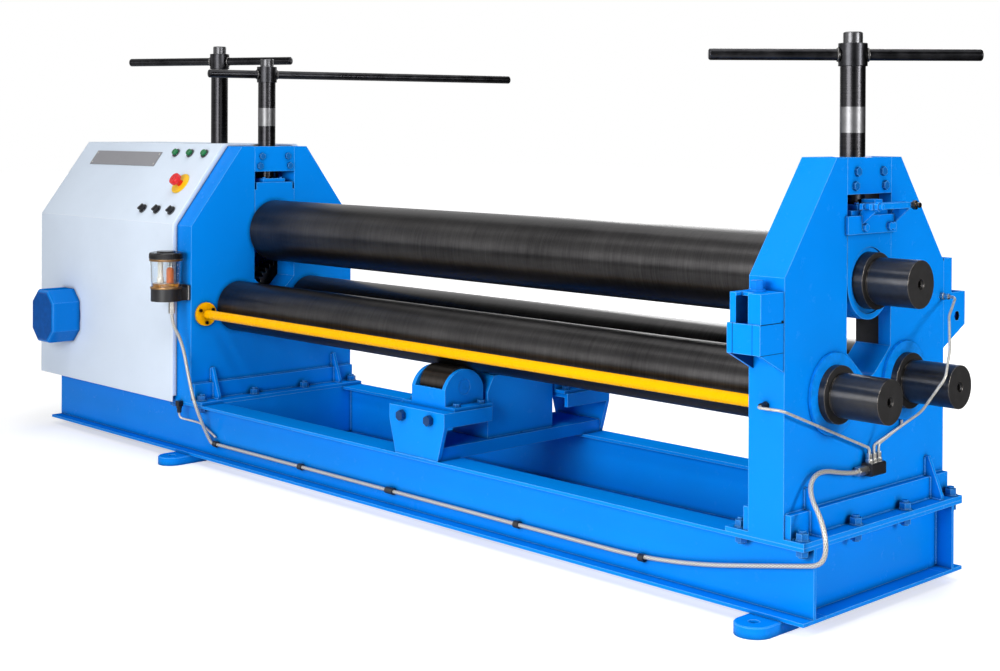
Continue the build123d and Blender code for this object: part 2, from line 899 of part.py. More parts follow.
clamp_x = outer_x + block_proud
strap_x = clamp_x + 14
strap_z = keeper_top + 4 - strap_height
clamp_plate_bottom = block_shoulder_z - clamp_plate_overlap
with BuildPart() as lift_clamp:
    with Locations((clamp_x + clamp_plate_thick / 2, 0, clamp_plate_bottom + clamp_plate_height / 2)):
        Box(clamp_plate_thick, 2 * clamp_plate_half, clamp_plate_height)
    for row in (0, 1):
        near_x = strap_x + row * (strap_thick + strap_gap)
        strap_length = strap_end + strap_start
        strap_middle = strap_length / 2 - strap_start
        with Locations((near_x + strap_thick / 2, strap_middle, strap_z + strap_height / 2)):
            Box(strap_thick, strap_length, strap_height)
    rib_far_x = strap_x + 2 * strap_thick + strap_gap
    for y in (strap_rib_inset - strap_start, clamp_plate_half - 8):
        with BuildSketch(Plane.XZ.offset(-y)):
            with BuildLine():
                Polyline(
                    (clamp_x, clamp_plate_bottom + clamp_plate_height / 2),
                    (clamp_x + clamp_plate_thick, clamp_plate_bottom + clamp_plate_height / 2),
                    (rib_far_x, strap_z),
                    (rib_far_x, strap_z + strap_height / 2),
                    (strap_x, strap_z + strap_height / 2),
                    (clamp_x, clamp_plate_bottom + clamp_plate_height),
                    close=True,
                )
            make_face()
        extrude(amount=3, both=True)
    tongue_start = housing_x + screw_diameter / 2 + 6
    with Locations(((tongue_start + strap_x + strap_thick) / 2, 0, keeper_top + 4)):
        Box(strap_x + strap_thick - tongue_start, 30, 8, align=(Align.CENTER, Align.CENTER, Align.MIN))
    with Locations((strap_x + strap_thick / 2, 0, strap_z)):
        Box(strap_thick, 30, keeper_top + 12 - strap_z, align=(Align.CENTER, Align.CENTER, Align.MIN))
    for y in (strap_tie_inset - strap_start, strap_end - strap_tie_inset):
        bolt_plane = Plane(origin=(rib_far_x, y, strap_z + strap_height / 2), z_dir=(1, 0, 0))
        with BuildSketch(bolt_plane):
            RegularPolygon(9, 6, major_radius=False)
        extrude(amount=9)
        with BuildSketch(bolt_plane):
            Circle(clamp_bolt / 2)
        extrude(amount=18)
        with BuildSketch(bolt_plane):
            Circle(clamp_bolt / 2)
        extrude(amount=-(2 * strap_thick + strap_gap))
    for y in (-34, 61, clamp_plate_half - 22):
        head_z = clamp_plate_bottom + 14
        with BuildSketch(Plane(origin=(clamp_x + clamp_plate_thick, y, head_z), z_dir=(1, 0, 0))):
            RegularPolygon(8, 6, major_radius=False)
        extrude(amount=8)
save(lift_clamp, "lift_clamp")


# Screws with hubs and hand bars
def make_screw(x, bar_height):
    """Screw that turns in its nut, with a collar held in the block and a neck for the hub."""
    collar_bottom = block_top - screw_collar_height - seat_gap
    neck_top = keeper_top + 4
    hub_bottom = housing_top + bar_height - hub_height / 2
    steps = [
        (screw_collar_height, screw_collar / 2),
        (neck_top - collar_bottom - screw_collar_height, screw_neck / 2),
        (hub_bottom - neck_top - seat_gap, screw_diameter / 2),
        (hub_socket, hub_top_diameter / 2),
    ]
    return upright(x, 0, steps, collar_bottom)


def make_handle(x, bar_height, bar):
    """Hub with a socket over the screw's neck, and a bar through its cross hole."""
    far_half, near_half, turn = bar
    bar_z = housing_top + bar_height
    hub_bottom = bar_z - hub_height / 2
    direction = (cos(radians(turn)), sin(radians(turn)), 0)
    bar_plane = Plane(origin=(x, 0, bar_z), x_dir=(0, 0, 1), z_dir=direction)
    with BuildPart() as hub:
        with BuildSketch(Plane.XY.offset(hub_bottom)):
            with Locations((x, 0)):
                Circle(hub_diameter / 2)
        extrude(amount=hub_height)
        with BuildSketch(Plane.XY.offset(hub_bottom + hub_height)):
            with Locations((x, 0)):
                Circle(hub_top_diameter / 2)
        extrude(amount=hub_top_height)
        chamfer(hub.faces().sort_by(Axis.Z)[-1].edges(), 2)
        with BuildSketch(Plane.XY.offset(hub_bottom)):
            with Locations((x, 0)):
                Circle(hub_top_diameter / 2 + running_fit)
        extrude(amount=hub_socket, mode=Mode.SUBTRACT)
        with BuildSketch(bar_plane):
            Circle(bar_diameter / 2 + 0.1)
        extrude(amount=hub_diameter, both=True, mode=Mode.SUBTRACT)
        mouth_start = hub_diameter / 2 - bar_mouth_depth
        for mouth_plane in (bar_plane.offset(mouth_start), bar_plane.offset(-mouth_start - hub_diameter)):
            with BuildSketch(mouth_plane):
                Circle(bar_mouth / 2)
            extrude(amount=hub_diameter, mode=Mode.SUBTRACT)
    with BuildPart() as rod:
        with BuildSketch(bar_plane.offset(-near_half)):
            Circle(bar_diameter / 2)
        extrude(amount=near_half + far_half)
        fillet(rod.edges(), 5)
    return gather([hub.part, rod.part])


right_screw = make_screw(housing_x, right_bar_height)
save(right_screw, "right_screw")
left_screw = make_screw(-housing_x, left_bar_height)
save(left_screw, "left_screw")
tail_screw = make_screw(tail_x, tail_bar_height)
save(tail_screw, "tail_screw")
right_handle = make_handle(housing_x, right_bar_height, right_bar)
save(right_handle, "right_handle")
left_handle = make_handle(-housing_x, left_bar_height, left_bar)
save(left_handle, "left_handle")
tail_handle = make_handle(tail_x, tail_bar_height, tail_bar)
save(tail_handle, "tail_handle")

# Tail bracket: portal inside the cabinet that guides the tail block
with BuildPart() as tail_bracket:
    with BuildSketch(Plane.YZ.offset(tail_x - tail_bracket_thick / 2)):
        with BuildLine():
            Polyline(
                (-tail_bracket_half, base_top),
                (-tail_bracket_half, crease_z - tail_crease_drop),
                (-tail_bracket_top / 2, tail_top),
                (tail_bracket_top / 2, tail_top),
                (tail_bracket_half, crease_z - tail_crease_drop),
                (tail_bracket_half, base_top),
                close=True,
            )
        make_face()
        with Locations((0, base_top)):
            Rectangle(
                2 * tail_portal_half, tail_portal_height, align=(Align.CENTER, Align.MIN), mode=Mode.SUBTRACT
            )
            Rectangle(
                tail_slot_width, yoke_bottom - base_top, align=(Align.CENTER, Align.MIN), mode=Mode.SUBTRACT
            )
    extrude(amount=tail_bracket_thick)
    with Locations((tail_x, 0, yoke_bottom + (tail_top - yoke_bottom) / 2)):
        Cylinder(nut_radius + 14, tail_top - yoke_bottom)
    with Locations((tail_x, 0, tail_top)):
        Hole(nut_radius + press_gap, tail_top - yoke_bottom)
save(tail_bracket, "tail_bracket")

# Middle support: cross tie with stands, tables and a pedestal, and two roller carriers
tie_top = base_top + tie_height
stand_top = base_top + stand_height
table_top = stand_top
stand_inner = half_width - stand_thick
support_y = lower_y + support_axis_out
support_rise = sqrt(
    (lower_radius + support_roller_diameter / 2 + rolling_gap) ** 2 - support_axis_out**2
)
support_z = lower_axis_z - support_rise
stand_bolt = 16
stand_bolt_x = 54
stand_bolt_drop = 23

with BuildPart() as support_bridge:
    with Locations((0, 0, base_top)):
        Box(tie_width, 2 * stand_inner, tie_height, align=(Align.CENTER, Align.CENTER, Align.MIN))
        Box(
            tie_width - 2 * tie_wall,
            2 * stand_inner,
            tie_height - tie_wall,
            align=(Align.CENTER, Align.CENTER, Align.MIN),
            mode=Mode.SUBTRACT,
        )
    for side in (-1, 1):
        with BuildSketch(Plane.XZ.offset(-side * stand_inner)):
            with BuildLine():
                Polyline(
                    (-tie_width / 2, base_top),
                    (-stand_top_width / 2, stand_top - table_depth),
                    (-stand_top_width / 2, stand_top),
                    (stand_top_width / 2, stand_top),
                    (stand_top_width / 2, stand_top - table_depth),
                    (tie_width / 2, base_top),
                    close=True,
                )
            make_face()
        extrude(amount=-side * stand_thick)
        table_y = side * (stand_inner - table_length / 2)
        with Locations((0, table_y, table_top)):
            Box(
                stand_top_width, table_length, table_depth, align=(Align.CENTER, Align.CENTER, Align.MAX)
            )
        with Locations((0, table_y, table_top - table_wall)):
            Box(
                stand_top_width - 2 * table_wall,
                table_length,
                table_depth - table_wall,
                align=(Align.CENTER, Align.CENTER, Align.MAX),
                mode=Mode.SUBTRACT,
            )
        with Locations((0, side * (stand_inner - 12), table_top - table_wall)):
            Box(150, 24, table_depth - table_wall, align=(Align.CENTER, Align.CENTER, Align.MAX))
        for x in (-stand_bolt_x, stand_bolt_x):
            hole_plane = Plane(
                origin=(x, side * half_width, stand_top - stand_bolt_drop), z_dir=(0, side, 0)
            )
            with BuildSketch(hole_plane):
                Circle(stand_bolt / 2 + 0.2)
            extrude(amount=-60, mode=Mode.SUBTRACT)
    pedestal_top = tie_top + pedestal_height
    pedestal_half = pedestal_length / 2
    with BuildSketch(Plane.YZ.offset(-pedestal_width / 2)):
        with BuildLine():
            Polyline(
                (-pedestal_half, tie_top),
                (-pedestal_half, pedestal_top - pedestal_chamfer_down),
                (-pedestal_half + pedestal_chamfer_out, pedestal_top),
                (pedestal_half - pedestal_chamfer_out, pedestal_top),
                (pedestal_half, pedestal_top - pedestal_chamfer_down),
                (pedestal_half, tie_top),
                close=True,
            )
        make_face()
    extrude(amount=pedestal_width)
    with Locations((0, 0, tie_top)):
        Box(
            pedestal_width - 2 * pedestal_wall,
            pedestal_length - 2 * pedestal_chamfer_out - 2 * pedestal_wall,
            pedestal_height - pedestal_wall,
            align=(Align.CENTER, Align.CENTER, Align.MIN),
            mode=Mode.SUBTRACT,
        )
save(support_bridge, "support_bridge")

carrier_bolt = 12
carrier_bolt_x = carrier_width / 2 + carrier_flange / 2
carrier_bolt_y = carrier_length / 2 - 24


def roller_carrier(side):
    """Box with two arched cheeks that hold a support roller."""
    axis_y = side * support_y
    with BuildPart() as carrier:
        for hand in (-1, 1):
            with BuildSketch(Plane.YZ.offset(hand * (carrier_width - carrier_wall) / 2)):
                with Locations((axis_y, support_z - carrier_arch_drop)):
                    Circle(carrier_arch_radius)
                with Locations((axis_y, table_top)):
                    Rectangle(
                        carrier_length, 2 * carrier_arch_radius + 100, align=(Align.CENTER, Align.MIN),
                        mode=Mode.INTERSECT,
                    )
                with Locations((axis_y, table_top)):
                    Rectangle(carrier_length, carrier_plate_height, align=(Align.CENTER, Align.MIN))
                with Locations((axis_y, support_z)):
                    Circle(support_axle_diameter / 2 + running_fit, mode=Mode.SUBTRACT)
            extrude(amount=carrier_wall / 2, both=True)
            flange_x = hand * (carrier_width + carrier_flange) / 2
            with Locations((flange_x, axis_y, table_top)):
                Box(
                    carrier_flange, carrier_length, carrier_flange_thick,
                    align=(Align.CENTER, Align.CENTER, Align.MIN),
                )
            for y in (-carrier_bolt_y, carrier_bolt_y):
                with Locations((hand * carrier_bolt_x, axis_y + y, table_top + carrier_flange_thick)):
                    Hole(carrier_bolt / 2 + 0.2, carrier_flange_thick)
        for end in (-1, 1):
            plate_y = axis_y + end * (carrier_length - carrier_flange_thick) / 2
            with Locations((0, plate_y, table_top)):
                Box(
                    carrier_width, carrier_flange_thick, carrier_plate_height,
                    align=(Align.CENTER, Align.CENTER, Align.MIN),
                )
    return carrier


front_carrier = roller_carrier(-1)
save(front_carrier, "front_carrier")
rear_carrier = roller_carrier(1)
save(rear_carrier, "rear_carrier")

roller_half = carrier_width / 2 - carrier_wall - 2


def support_roller(side):
    """Roller with its axle ends in the carrier's cheeks."""
    steps = [
        (carrier_wall + 1, support_axle_diameter / 2),
        (2 * roller_half, support_roller_diameter / 2),
        (carrier_wall + 1, support_axle_diameter / 2),
    ]
    return turned(side * support_y, support_z, -roller_half - carrier_wall - 1, steps)


front_support_roller = support_roller(-1)
save(front_support_roller, "front_support_roller")
rear_support_roller = support_roller(1)
save(rear_support_roller, "rear_support_roller")

# Safety rail with a flange at each housing
rail_y = -(half_width - rail_inset)
rail_z = lower_axis_z - rail_drop
with BuildPart() as safety_rail:
    with BuildSketch(Plane.YZ.offset(-inner_x)):
        with Locations((rail_y, rail_z)):
            Circle(rail_diameter / 2)
    extrude(amount=housing_gap)
    with BuildSketch(Plane.YZ.offset(-inner_x), Plane.YZ.offset(inner_x - rail_flange_thick)):
        with Locations((rail_y, rail_z)):
            Circle(rail_flange_diameter / 2)
    extrude(amount=rail_flange_thick)
save(safety_rail, "safety_rail")

# Brackets on the front and rear edge of the right housing
bracket_top = lower_axis_z + bracket_top_above
bracket_step = lower_axis_z + bracket_step_above
bracket_floor = lower_axis_z + bracket_floor_above
bracket_rib = lower_axis_z + bracket_rib_above
bracket_bolt_y = -(half_width + bracket_reach * 0.42)


def box_between(low, high, mode=Mode.ADD):
    """Box between two corners, for use inside a part."""
    size = [b - a for a, b in zip(low, high)]
    middle = tuple((a + b) / 2 for a, b in zip(low, high))
    with Locations(middle):
        Box(*size, mode=mode)


def bracket_rib_part(x, thick, side, reach, rib_bottom, floor):
    """Triangular rib below a bracket, against the housing's edge."""
    with BuildPart() as rib:
        with BuildSketch(Plane.YZ.offset(x)):
            with BuildLine():
                Polyline(
                    (side * half_width, floor),
                    (side * (half_width + reach), floor),
                    (side * half_width, rib_bottom),
                    close=True,
                )
            make_face()
        extrude(amount=thick)
    return rib.part


front_ribs = [
    bracket_rib_part(x, bracket_plate, -1, bracket_reach, bracket_rib, bracket_floor)
    for x in (inner_x + 4, outer_x - 2 - bracket_plate)
]
with BuildPart() as front_bracket:
    front_y = -(half_width + bracket_reach)
    low_x = inner_x + 4
    high_x = outer_x - 2
    box_between((low_x, front_y, bracket_floor), (high_x, -half_width, bracket_step))
    box_between(
        (low_x + bracket_wall, front_y + bracket_plate, bracket_floor + bracket_plate),
        (high_x - 2 * bracket_wall, -half_width - bracket_plate, bracket_step),
        Mode.SUBTRACT,
    )
    box_between((low_x + 6, front_y + 2, bracket_step), (low_x + 6 + bracket_wall, -half_width, bracket_top))
    box_between((high_x - 2 * bracket_wall, front_y + 2, bracket_step), (high_x, -half_width, bracket_top))
    box_between(
        (low_x + 6, front_y + 22, bracket_top - bracket_plate), (high_x, -half_width, bracket_top)
    )
    for rib in front_ribs:
        add(rib)
    with Locations((housing_x, bracket_bolt_y, bracket_top)):
        Hole(stand_bolt / 2 + 0.2, bracket_plate)
save(front_bracket, "front_bracket")

rear_low_x = outer_x - rear_bracket_width
rear_ribs = [
    bracket_rib_part(x, bracket_plate, 1, rear_bracket_reach, bracket_rib - 8, bracket_floor)
    for x in (rear_low_x, outer_x - bracket_plate)
]
with BuildPart() as rear_bracket:
    rear_y = half_width + rear_bracket_reach
    rear_step = bracket_step + 16
    rear_top = lower_axis_z + rear_bracket_above
    box_between((rear_low_x, half_width, bracket_floor), (outer_x, rear_y, rear_step))
    box_between(
        (rear_low_x + bracket_plate, half_width + bracket_plate, bracket_floor + bracket_plate),
        (outer_x - bracket_plate, rear_y - bracket_plate, rear_step),
        Mode.SUBTRACT,
    )
    box_between((rear_low_x, half_width, rear_step), (outer_x, half_width + 36, rear_top))
    for rib in rear_ribs:
        add(rib)
    with BuildSketch(Plane.YZ.offset(rear_low_x)):
        with Locations((half_width + 60, bracket_floor + 22)):
            RegularPolygon(12, 6)
    extrude(amount=rear_bracket_width, mode=Mode.SUBTRACT)
save(rear_bracket, "rear_bracket")

# Bolts of the yokes, stands, carriers, front bracket and rail flanges
fasteners = []
for end in (-1, 1):
    for plane in yoke_bolt_planes(end):
        fasteners.append(hex_bolt(plane, 18, 7, yoke_bolt / 2, yoke_bolt_depth))
for side in (-1, 1):
    for x in (-stand_bolt_x, stand_bolt_x):
        plane = Plane(origin=(x, side * half_width, stand_top - stand_bolt_drop), z_dir=(0, side, 0))
        fasteners.append(hex_bolt(plane, 24, 14, stand_bolt / 2, 30))
        for y in (-carrier_bolt_y, carrier_bolt_y):
            hand = 1 if x > 0 else -1
            place = (hand * carrier_bolt_x, side * support_y + y, table_top + carrier_flange_thick)
            fasteners.append(hex_bolt(Plane(origin=place), 18, 8, carrier_bolt / 2, carrier_flange_thick))
bracket_bolt_place = Plane(origin=(housing_x, bracket_bolt_y, bracket_top))
with BuildPart() as bracket_bolt:
    with BuildSketch(bracket_bolt_place):
        Circle(17)
    extrude(amount=5)
    with BuildSketch(bracket_bolt_place.offset(5)):
        RegularPolygon(12, 6, major_radius=False)
    extrude(amount=18)
    with BuildSketch(bracket_bolt_place):
        Circle(stand_bolt / 2)
    extrude(amount=-bracket_plate)
fasteners.append(bracket_bolt.part)
for end in (-1, 1):
    for turn in (30, 150, 270):
        place = (
            end * (inner_x - rail_flange_thick),
            rail_y + 26 * cos(radians(turn)),
            rail_z + 26 * sin(radians(turn)),
        )
        with BuildPart() as rail_screw:
            with BuildSketch(Plane(origin=place, z_dir=(-end, 0, 0))):
                Circle(5)
            extrude(amount=5)
        fasteners.append(rail_screw.part)
frame_bolts = gather(fasteners)
save(frame_bolts, "frame_bolts")

# Lubricator on the left housing's front edge
oiler_y = -(half_width + oiler_out)
oiler_bottom = lower_axis_z + oiler_above
cup_bottom = oiler_bottom + oiler_base_height
with BuildPart() as lubricator_base:
    with BuildSketch(Plane.XY.offset(oiler_bottom)):
        with Locations((oiler_x, oiler_y)):
            Circle(cup_radius - 2)
    extrude(amount=oiler_base_height)
    box_between(
        (oiler_x - oiler_arm_half, oiler_y, oiler_bottom), (oiler_x + oiler_arm_half, -half_width, cup_bottom)
    )
    box_between(
        (oiler_x - oiler_plate_half, -half_width - oiler_plate, oiler_bottom),
        (oiler_x + oiler_plate_half, -half_width, cup_bottom + oiler_plate_over),
    )
save(lubricator_base, "lubricator_base")

cup_top = cup_bottom + cup_height
cup_foot = cup_radius - 4
with BuildPart() as lubricator_cup:
    with BuildSketch(Plane(origin=(oiler_x, oiler_y, 0), x_dir=(1, 0, 0), z_dir=(0, -1, 0))):
        with BuildLine():
            Polyline(
                (0, cup_bottom),
                (cup_foot, cup_bottom),
                (cup_radius, cup_top),
                (cup_radius - cup_wall, cup_top),
                (cup_foot - cup_wall, cup_bottom + cup_wall),
                (0, cup_bottom + cup_wall),
                close=True,
            )
        make_face()
    revolve(axis=Axis((oiler_x, oiler_y, 0), (0, 0, 1)))
save(lubricator_cup, "lubricator_cup")

with BuildPart() as lubricator_cap:
    with BuildSketch(Plane.XY.offset(cup_top)):
        with Locations((oiler_x, oiler_y)):
            Circle(cup_radius + 4)
    extrude(amount=cap_height - cap_plug_height)
    with BuildSketch(Plane.XY.offset(cup_top + cap_height - cap_plug_height)):
        with Locations((oiler_x, oiler_y)):
            Circle(cup_radius - 20)
    extrude(amount=cap_plug_height)
save(lubricator_cap, "lubricator_cap")

# Manifold on the right housing's outer face
manifold_low_z = base_top + manifold_above
manifold_top = manifold_low_z + manifold_size[2]
manifold_half = manifold_size[1] / 2
manifold_x = outer_x + manifold_size[0] / 2
with BuildPart() as oil_manifold:
    with Locations((manifold_x, 0, manifold_low_z + manifold_size[2] / 2)):
        Box(*manifold_size)
    chamfer(oil_manifold.edges().filter_by(Axis.Y), 3)
save(oil_manifold, "oil_manifold")

# Braided hose from the lubricator along the front beam to the manifold
hose_y = -(web_front + hose_radius + clip_wall)
hose_z = base_bottom + 46
hose_port = (manifold_x - 3, -manifold_half, manifold_low_z + manifold_size[2] / 2)
hose_tail = 34
outlet_x = oiler_x + oiler_outlet_side
oiler_outlet = oiler_bottom - oiler_outlet_length
hose_points = [
    (outlet_x, oiler_y, oiler_outlet - seat_gap),
    (outlet_x, oiler_y, oiler_outlet - 30),
    (outlet_x + 8, -half_width - 32, oiler_outlet - 90),
    (outlet_x + 34, -half_width - 23, foot_top + 66),
    (-(inner_x - 60), -half_width - 23, base_top + 2),
    (-(inner_x - 68), hose_y, hose_z),
    (inner_x - 240, hose_y, hose_z),
    (base_right - 30, hose_y - 6, hose_z + 69),
    (base_right + 46, hose_y - 16, base_top - 26),
    (base_right + 44, hose_y - 16, base_top + 50),
    (outer_x + 22, -half_width + 52, manifold_top - 22),
    (manifold_x, -half_width + 98, manifold_top + 14),
    (hose_port[0], -manifold_half - hose_tail - 30, hose_port[2]),
    (hose_port[0], -manifold_half - hose_tail - seat_gap, hose_port[2]),
]
hose_radii = [60, 150, 150, 90, 22, 600, 60, 56, 40, 20, 40, 60]
oil_hose = gather([tube_along(hose_points, hose_radii, hose_radius)])
save(oil_hose, "oil_hose")


clip_size = hose_radius + clip_wall


def hose_clip(x, length):
    """Clip round the hose, standing on the front beam's web."""
    with BuildPart() as clip:
        with BuildSketch(Plane.YZ.offset(x - length / 2)):
            with Locations((hose_y, hose_z)):
                Circle(clip_size)
        extrude(amount=length)
        box_between((x - length / 2, hose_y, hose_z - 5), (x + length / 2, -web_front, hose_z + 5))
        with BuildSketch(Plane.YZ.offset(x - length / 2)):
            with Locations((hose_y, hose_z)):
                Circle(hose_radius + seat_gap)
        extrude(amount=length, mode=Mode.SUBTRACT)
    return clip.part


hose_clips = gather(
    [hose_clip(-inner_x + share * housing_gap, length) for share, length in clip_places]
)
save(hose_clips, "hose_clips")

# Thin oil pipes and their fittings
front_port = (housing_x, -half_width, lower_axis_z - front_port_drop)
rear_port = (outer_x, half_width - 10, lower_axis_z + rear_port_above)
manifold_ports = [(manifold_x, y, manifold_top) for y in (-18, 0, 18)]
beam_port = (-(inner_x + 52), -half_width - 8, base_top - 13)
pipe_gap = 0.5
pipe_seat = fitting_length - fitting_bore + pipe_gap
pipe_out = fitting_length + 16


def beside(port, direction, distance):
    """Point at a distance from a port along its direction."""
    return tuple(start + distance * step for start, step in zip(port, direction))


bush_bottom = lower_axis_z - lower_bush_flange / 2
pipe_1 = [
    beside(front_port, (0, -1, 0), pipe_seat),
    beside(front_port, (0, -1, 0), pipe_out),
    (outer_x + 18, -half_width - 30, front_port[2]),
    beside(manifold_ports[0], (0, 0, 1), pipe_out - 4),
    beside(manifold_ports[0], (0, 0, 1), pipe_seat),
]
pipe_2 = [
    beside(manifold_ports[2], (0, 0, 1), pipe_seat),
    beside(manifold_ports[2], (0, 0, 1), pipe_out),
    (outer_x + 10, lower_y - 45, bush_bottom - 18),
    (outer_x + 4, lower_y - 12, bush_bottom - 14),
    (outer_x + 4, lower_y - 12, bush_bottom - pipe_gap),
]
pipe_3 = [
    beside(manifold_ports[1], (0, 0, 1), pipe_seat),
    beside(manifold_ports[1], (0, 0, 1), pipe_out),
    (outer_x + 106, lower_y - 100, lower_axis_z - 46),
    (outer_x + 138, lower_y - 56, lower_axis_z + 26),
    (outer_x + 126, lower_y - 18, lower_axis_z + 80),
    (outer_x + 66, half_width - 90, rear_port[2] - 34),
    beside(rear_port, (1, 0, 0), pipe_out),
    beside(rear_port, (1, 0, 0), pipe_seat),
]
pipe_4 = [
    beside(beam_port, (0, 0, -1), pipe_seat),
    beside(beam_port, (0, 0, -1), pipe_out),
    (-(inner_x - 10), hose_y + 3, hose_z + 52),
    (-(inner_x - 94), hose_y + 2, hose_z + clip_size + pipe_radius + 8),
]
oil_pipes = gather(
    [
        tube_along(pipe_1, [14, 14, 10], pipe_radius),
        tube_along(pipe_2, [10, 20, 6], pipe_radius),
        tube_along(pipe_3, [10, 50, 40, 60, 60, 14], pipe_radius),
        tube_along(pipe_4, [14, 60], pipe_radius),
    ]
)
save(oil_pipes, "oil_pipes")


def fitting(origin, direction):
    """Hex union that stands on a face and takes a pipe's end."""
    with BuildPart() as union:
        for start, length, across in ((0, 7, 15), (7, fitting_length - 7, 12)):
            with BuildSketch(Plane(origin=origin, z_dir=direction).offset(start)):
                RegularPolygon(across / 2, 6, major_radius=False)
            extrude(amount=length)
        with BuildSketch(Plane(origin=origin, z_dir=direction).offset(fitting_length)):
            Circle(pipe_radius + seat_gap)
        extrude(amount=-fitting_bore, mode=Mode.SUBTRACT)
    return union.part


with BuildPart() as hose_end_left:
    with BuildSketch(Plane.XY.offset(oiler_outlet)):
        with Locations((outlet_x, oiler_y)):
            RegularPolygon(9, 6, major_radius=False)
    extrude(amount=36)
with BuildPart() as hose_end_right:
    with BuildSketch(Plane.XZ.offset(manifold_half)):
        with Locations((hose_port[0], hose_port[2])):
            RegularPolygon(9, 6, major_radius=False)
    extrude(amount=hose_tail)
with BuildPart() as beam_block:
    box_between(
        (beam_port[0] - 9, -half_width - 16, beam_port[2]), (beam_port[0] + 9, -half_width, base_top + 3)
    )
pipe_fittings = gather(
    [
        hose_end_left.part,
        hose_end_right.part,
        beam_block.part,
        fitting(front_port, (0, -1, 0)),
        fitting(rear_port, (1, 0, 0)),
        *[fitting(port, (0, 0, 1)) for port in manifold_ports],
        fitting(beam_port, (0, 0, -1)),
    ]
)
save(pipe_fittings, "pipe_fittings")

# Cabinet over the drive
cabinet_left = base_left - cabinet_left_over
cabinet_right = -outer_x + cabinet_right_over
cabinet_bottom = base_top - cabinet_drop
cabinet_crease = crease_z + cabinet_crease_rise
cabinet_top = housing_top + cabinet_rise


def cabinet_profile(inset):
    """Corner points of the cabinet's end view, moved in by a wall."""
    rise = cabinet_top - cabinet_crease
    run = cabinet_front - cabinet_top_width / 2
    slope = hypot(rise, run)
    half = cabinet_front - inset
    crease = cabinet_crease + inset * (run / rise - slope / rise)
    top = cabinet_top - inset
    top_half = half - run * (top - crease) / rise
    return [
        (-half, cabinet_bottom - inset),
        (-half, crease),
        (-top_half, top),
        (top_half, top),
        (half, crease),
        (half, cabinet_bottom - inset),
    ]


slope_run = cabinet_front - cabinet_top_width / 2
slope_rise = cabinet_top - cabinet_crease
slope_length = hypot(slope_run, slope_rise)
button_row_up = slope_length - button_row_drop
estop_up = slope_length - estop_drop
panel = Plane(
    origin=(0, -cabinet_front, cabinet_crease), x_dir=(1, 0, 0), z_dir=(0, -slope_rise, slope_run)
)
button_xs = [cabinet_right - 65 - control_spacing * step for step in (2, 1, 0)]
selector_xs = [cabinet_right - 52 - control_spacing * step for step in (2, 1, 0)]
estop_x = cabinet_right - 96

with BuildPart() as cabinet_shell:
    with BuildSketch(Plane.YZ.offset(cabinet_left)):
        with BuildLine():
            Polyline(*cabinet_profile(0), close=True)
        make_face()
    extrude(amount=cabinet_right - cabinet_left)
    with BuildSketch(Plane.YZ.offset(cabinet_left + sheet)):
        with BuildLine():
            Polyline(*cabinet_profile(sheet), close=True)
        make_face()
    extrude(amount=cabinet_right - cabinet_left, mode=Mode.SUBTRACT)
    for side in (-1, 1):
        lip_outer = side * (cabinet_front - sheet)
        lip_inner = side * (tail_bracket_half + 6)
        box_between(
            (cabinet_left + sheet, min(lip_outer, lip_inner), base_top),
            (-outer_x - base_free_end - 4, max(lip_outer, lip_inner), base_top + sheet),
        )
    with Locations((tail_x, 0, cabinet_top)):
        Hole(screw_diameter / 2 + 8, 2 * sheet)
    with BuildSketch(Plane.XZ.offset(cabinet_front)):
        with Locations((motor_x, motor_z)):
            Circle(motor_diameter / 2 - 4)
    extrude(amount=-2 * sheet, mode=Mode.SUBTRACT)
    with BuildSketch(panel):
        with Locations(*[(x, button_row_up) for x in button_xs]):
            Circle(button_radius + bezel_wall + 0.1)
        with Locations(*[(x, selector_row_up) for x in selector_xs]):
            Circle(button_radius + bezel_wall + 0.1)
        with Locations((estop_x, estop_up)):
            Circle(button_radius + bezel_wall + 0.1)
    extrude(amount=-2 * sheet, mode=Mode.SUBTRACT)
save(cabinet_shell, "cabinet_shell")

with BuildPart() as name_plate:
    with BuildSketch(panel):
        with Locations((cabinet_left + plate_inset + plate_length / 2, slope_length - plate_drop)):
            Rectangle(plate_length, plate_height)
    extrude(amount=1.5)
save(name_plate, "name_plate")


def bezel(x, up):
    """Round bezel with a barrel through the panel."""
    with BuildPart() as ring:
        with BuildSketch(panel):
            with Locations((x, up)):
                Circle(bezel_radius)
        extrude(amount=bezel_height)
        with BuildSketch(panel):
            with Locations((x, up)):
                Circle(button_radius + bezel_wall)
        extrude(amount=-bezel_barrel)
        with BuildSketch(panel.offset(bezel_height)):
            with Locations((x, up)):
                Circle(button_radius)
        extrude(amount=-bezel_height - bezel_bore, mode=Mode.SUBTRACT)
    return ring.part


control_bezels = gather(
    [bezel(x, button_row_up) for x in button_xs] + [bezel(x, selector_row_up) for x in selector_xs]
)
save(control_bezels, "control_bezels")


def push_button(x):
    """Push button whose stem runs in its bezel."""
    with BuildPart() as button:
        with BuildSketch(panel.offset(-stem_length)):
            with Locations((x, button_row_up)):
                Circle(button_radius - seat_gap)
        extrude(amount=stem_length + bezel_height + button_height)
        chamfer(button.edges().filter_by(GeomType.CIRCLE).sort_by(Axis.Z)[-1:], 1.5)
    return button


button_names = ("left_green_button", "middle_green_button", "right_green_button")
for button_name, button_x in zip(button_names, button_xs):
    save(push_button(button_x), button_name)


def selector(x):
    """Selector switch with a raised grip across its round base."""
    with BuildPart() as knob:
        with BuildSketch(panel.offset(-stem_length)):
            with Locations((x, selector_row_up)):
                Circle(button_radius - seat_gap)
        extrude(amount=stem_length + bezel_height + selector_rise)
        with BuildSketch(panel.offset(bezel_height + selector_rise)):
            with Locations((x, selector_row_up)):
                SlotOverall(2 * button_radius + 2, grip_width, rotation=grip_turn)
        extrude(amount=grip_rise)
    return knob


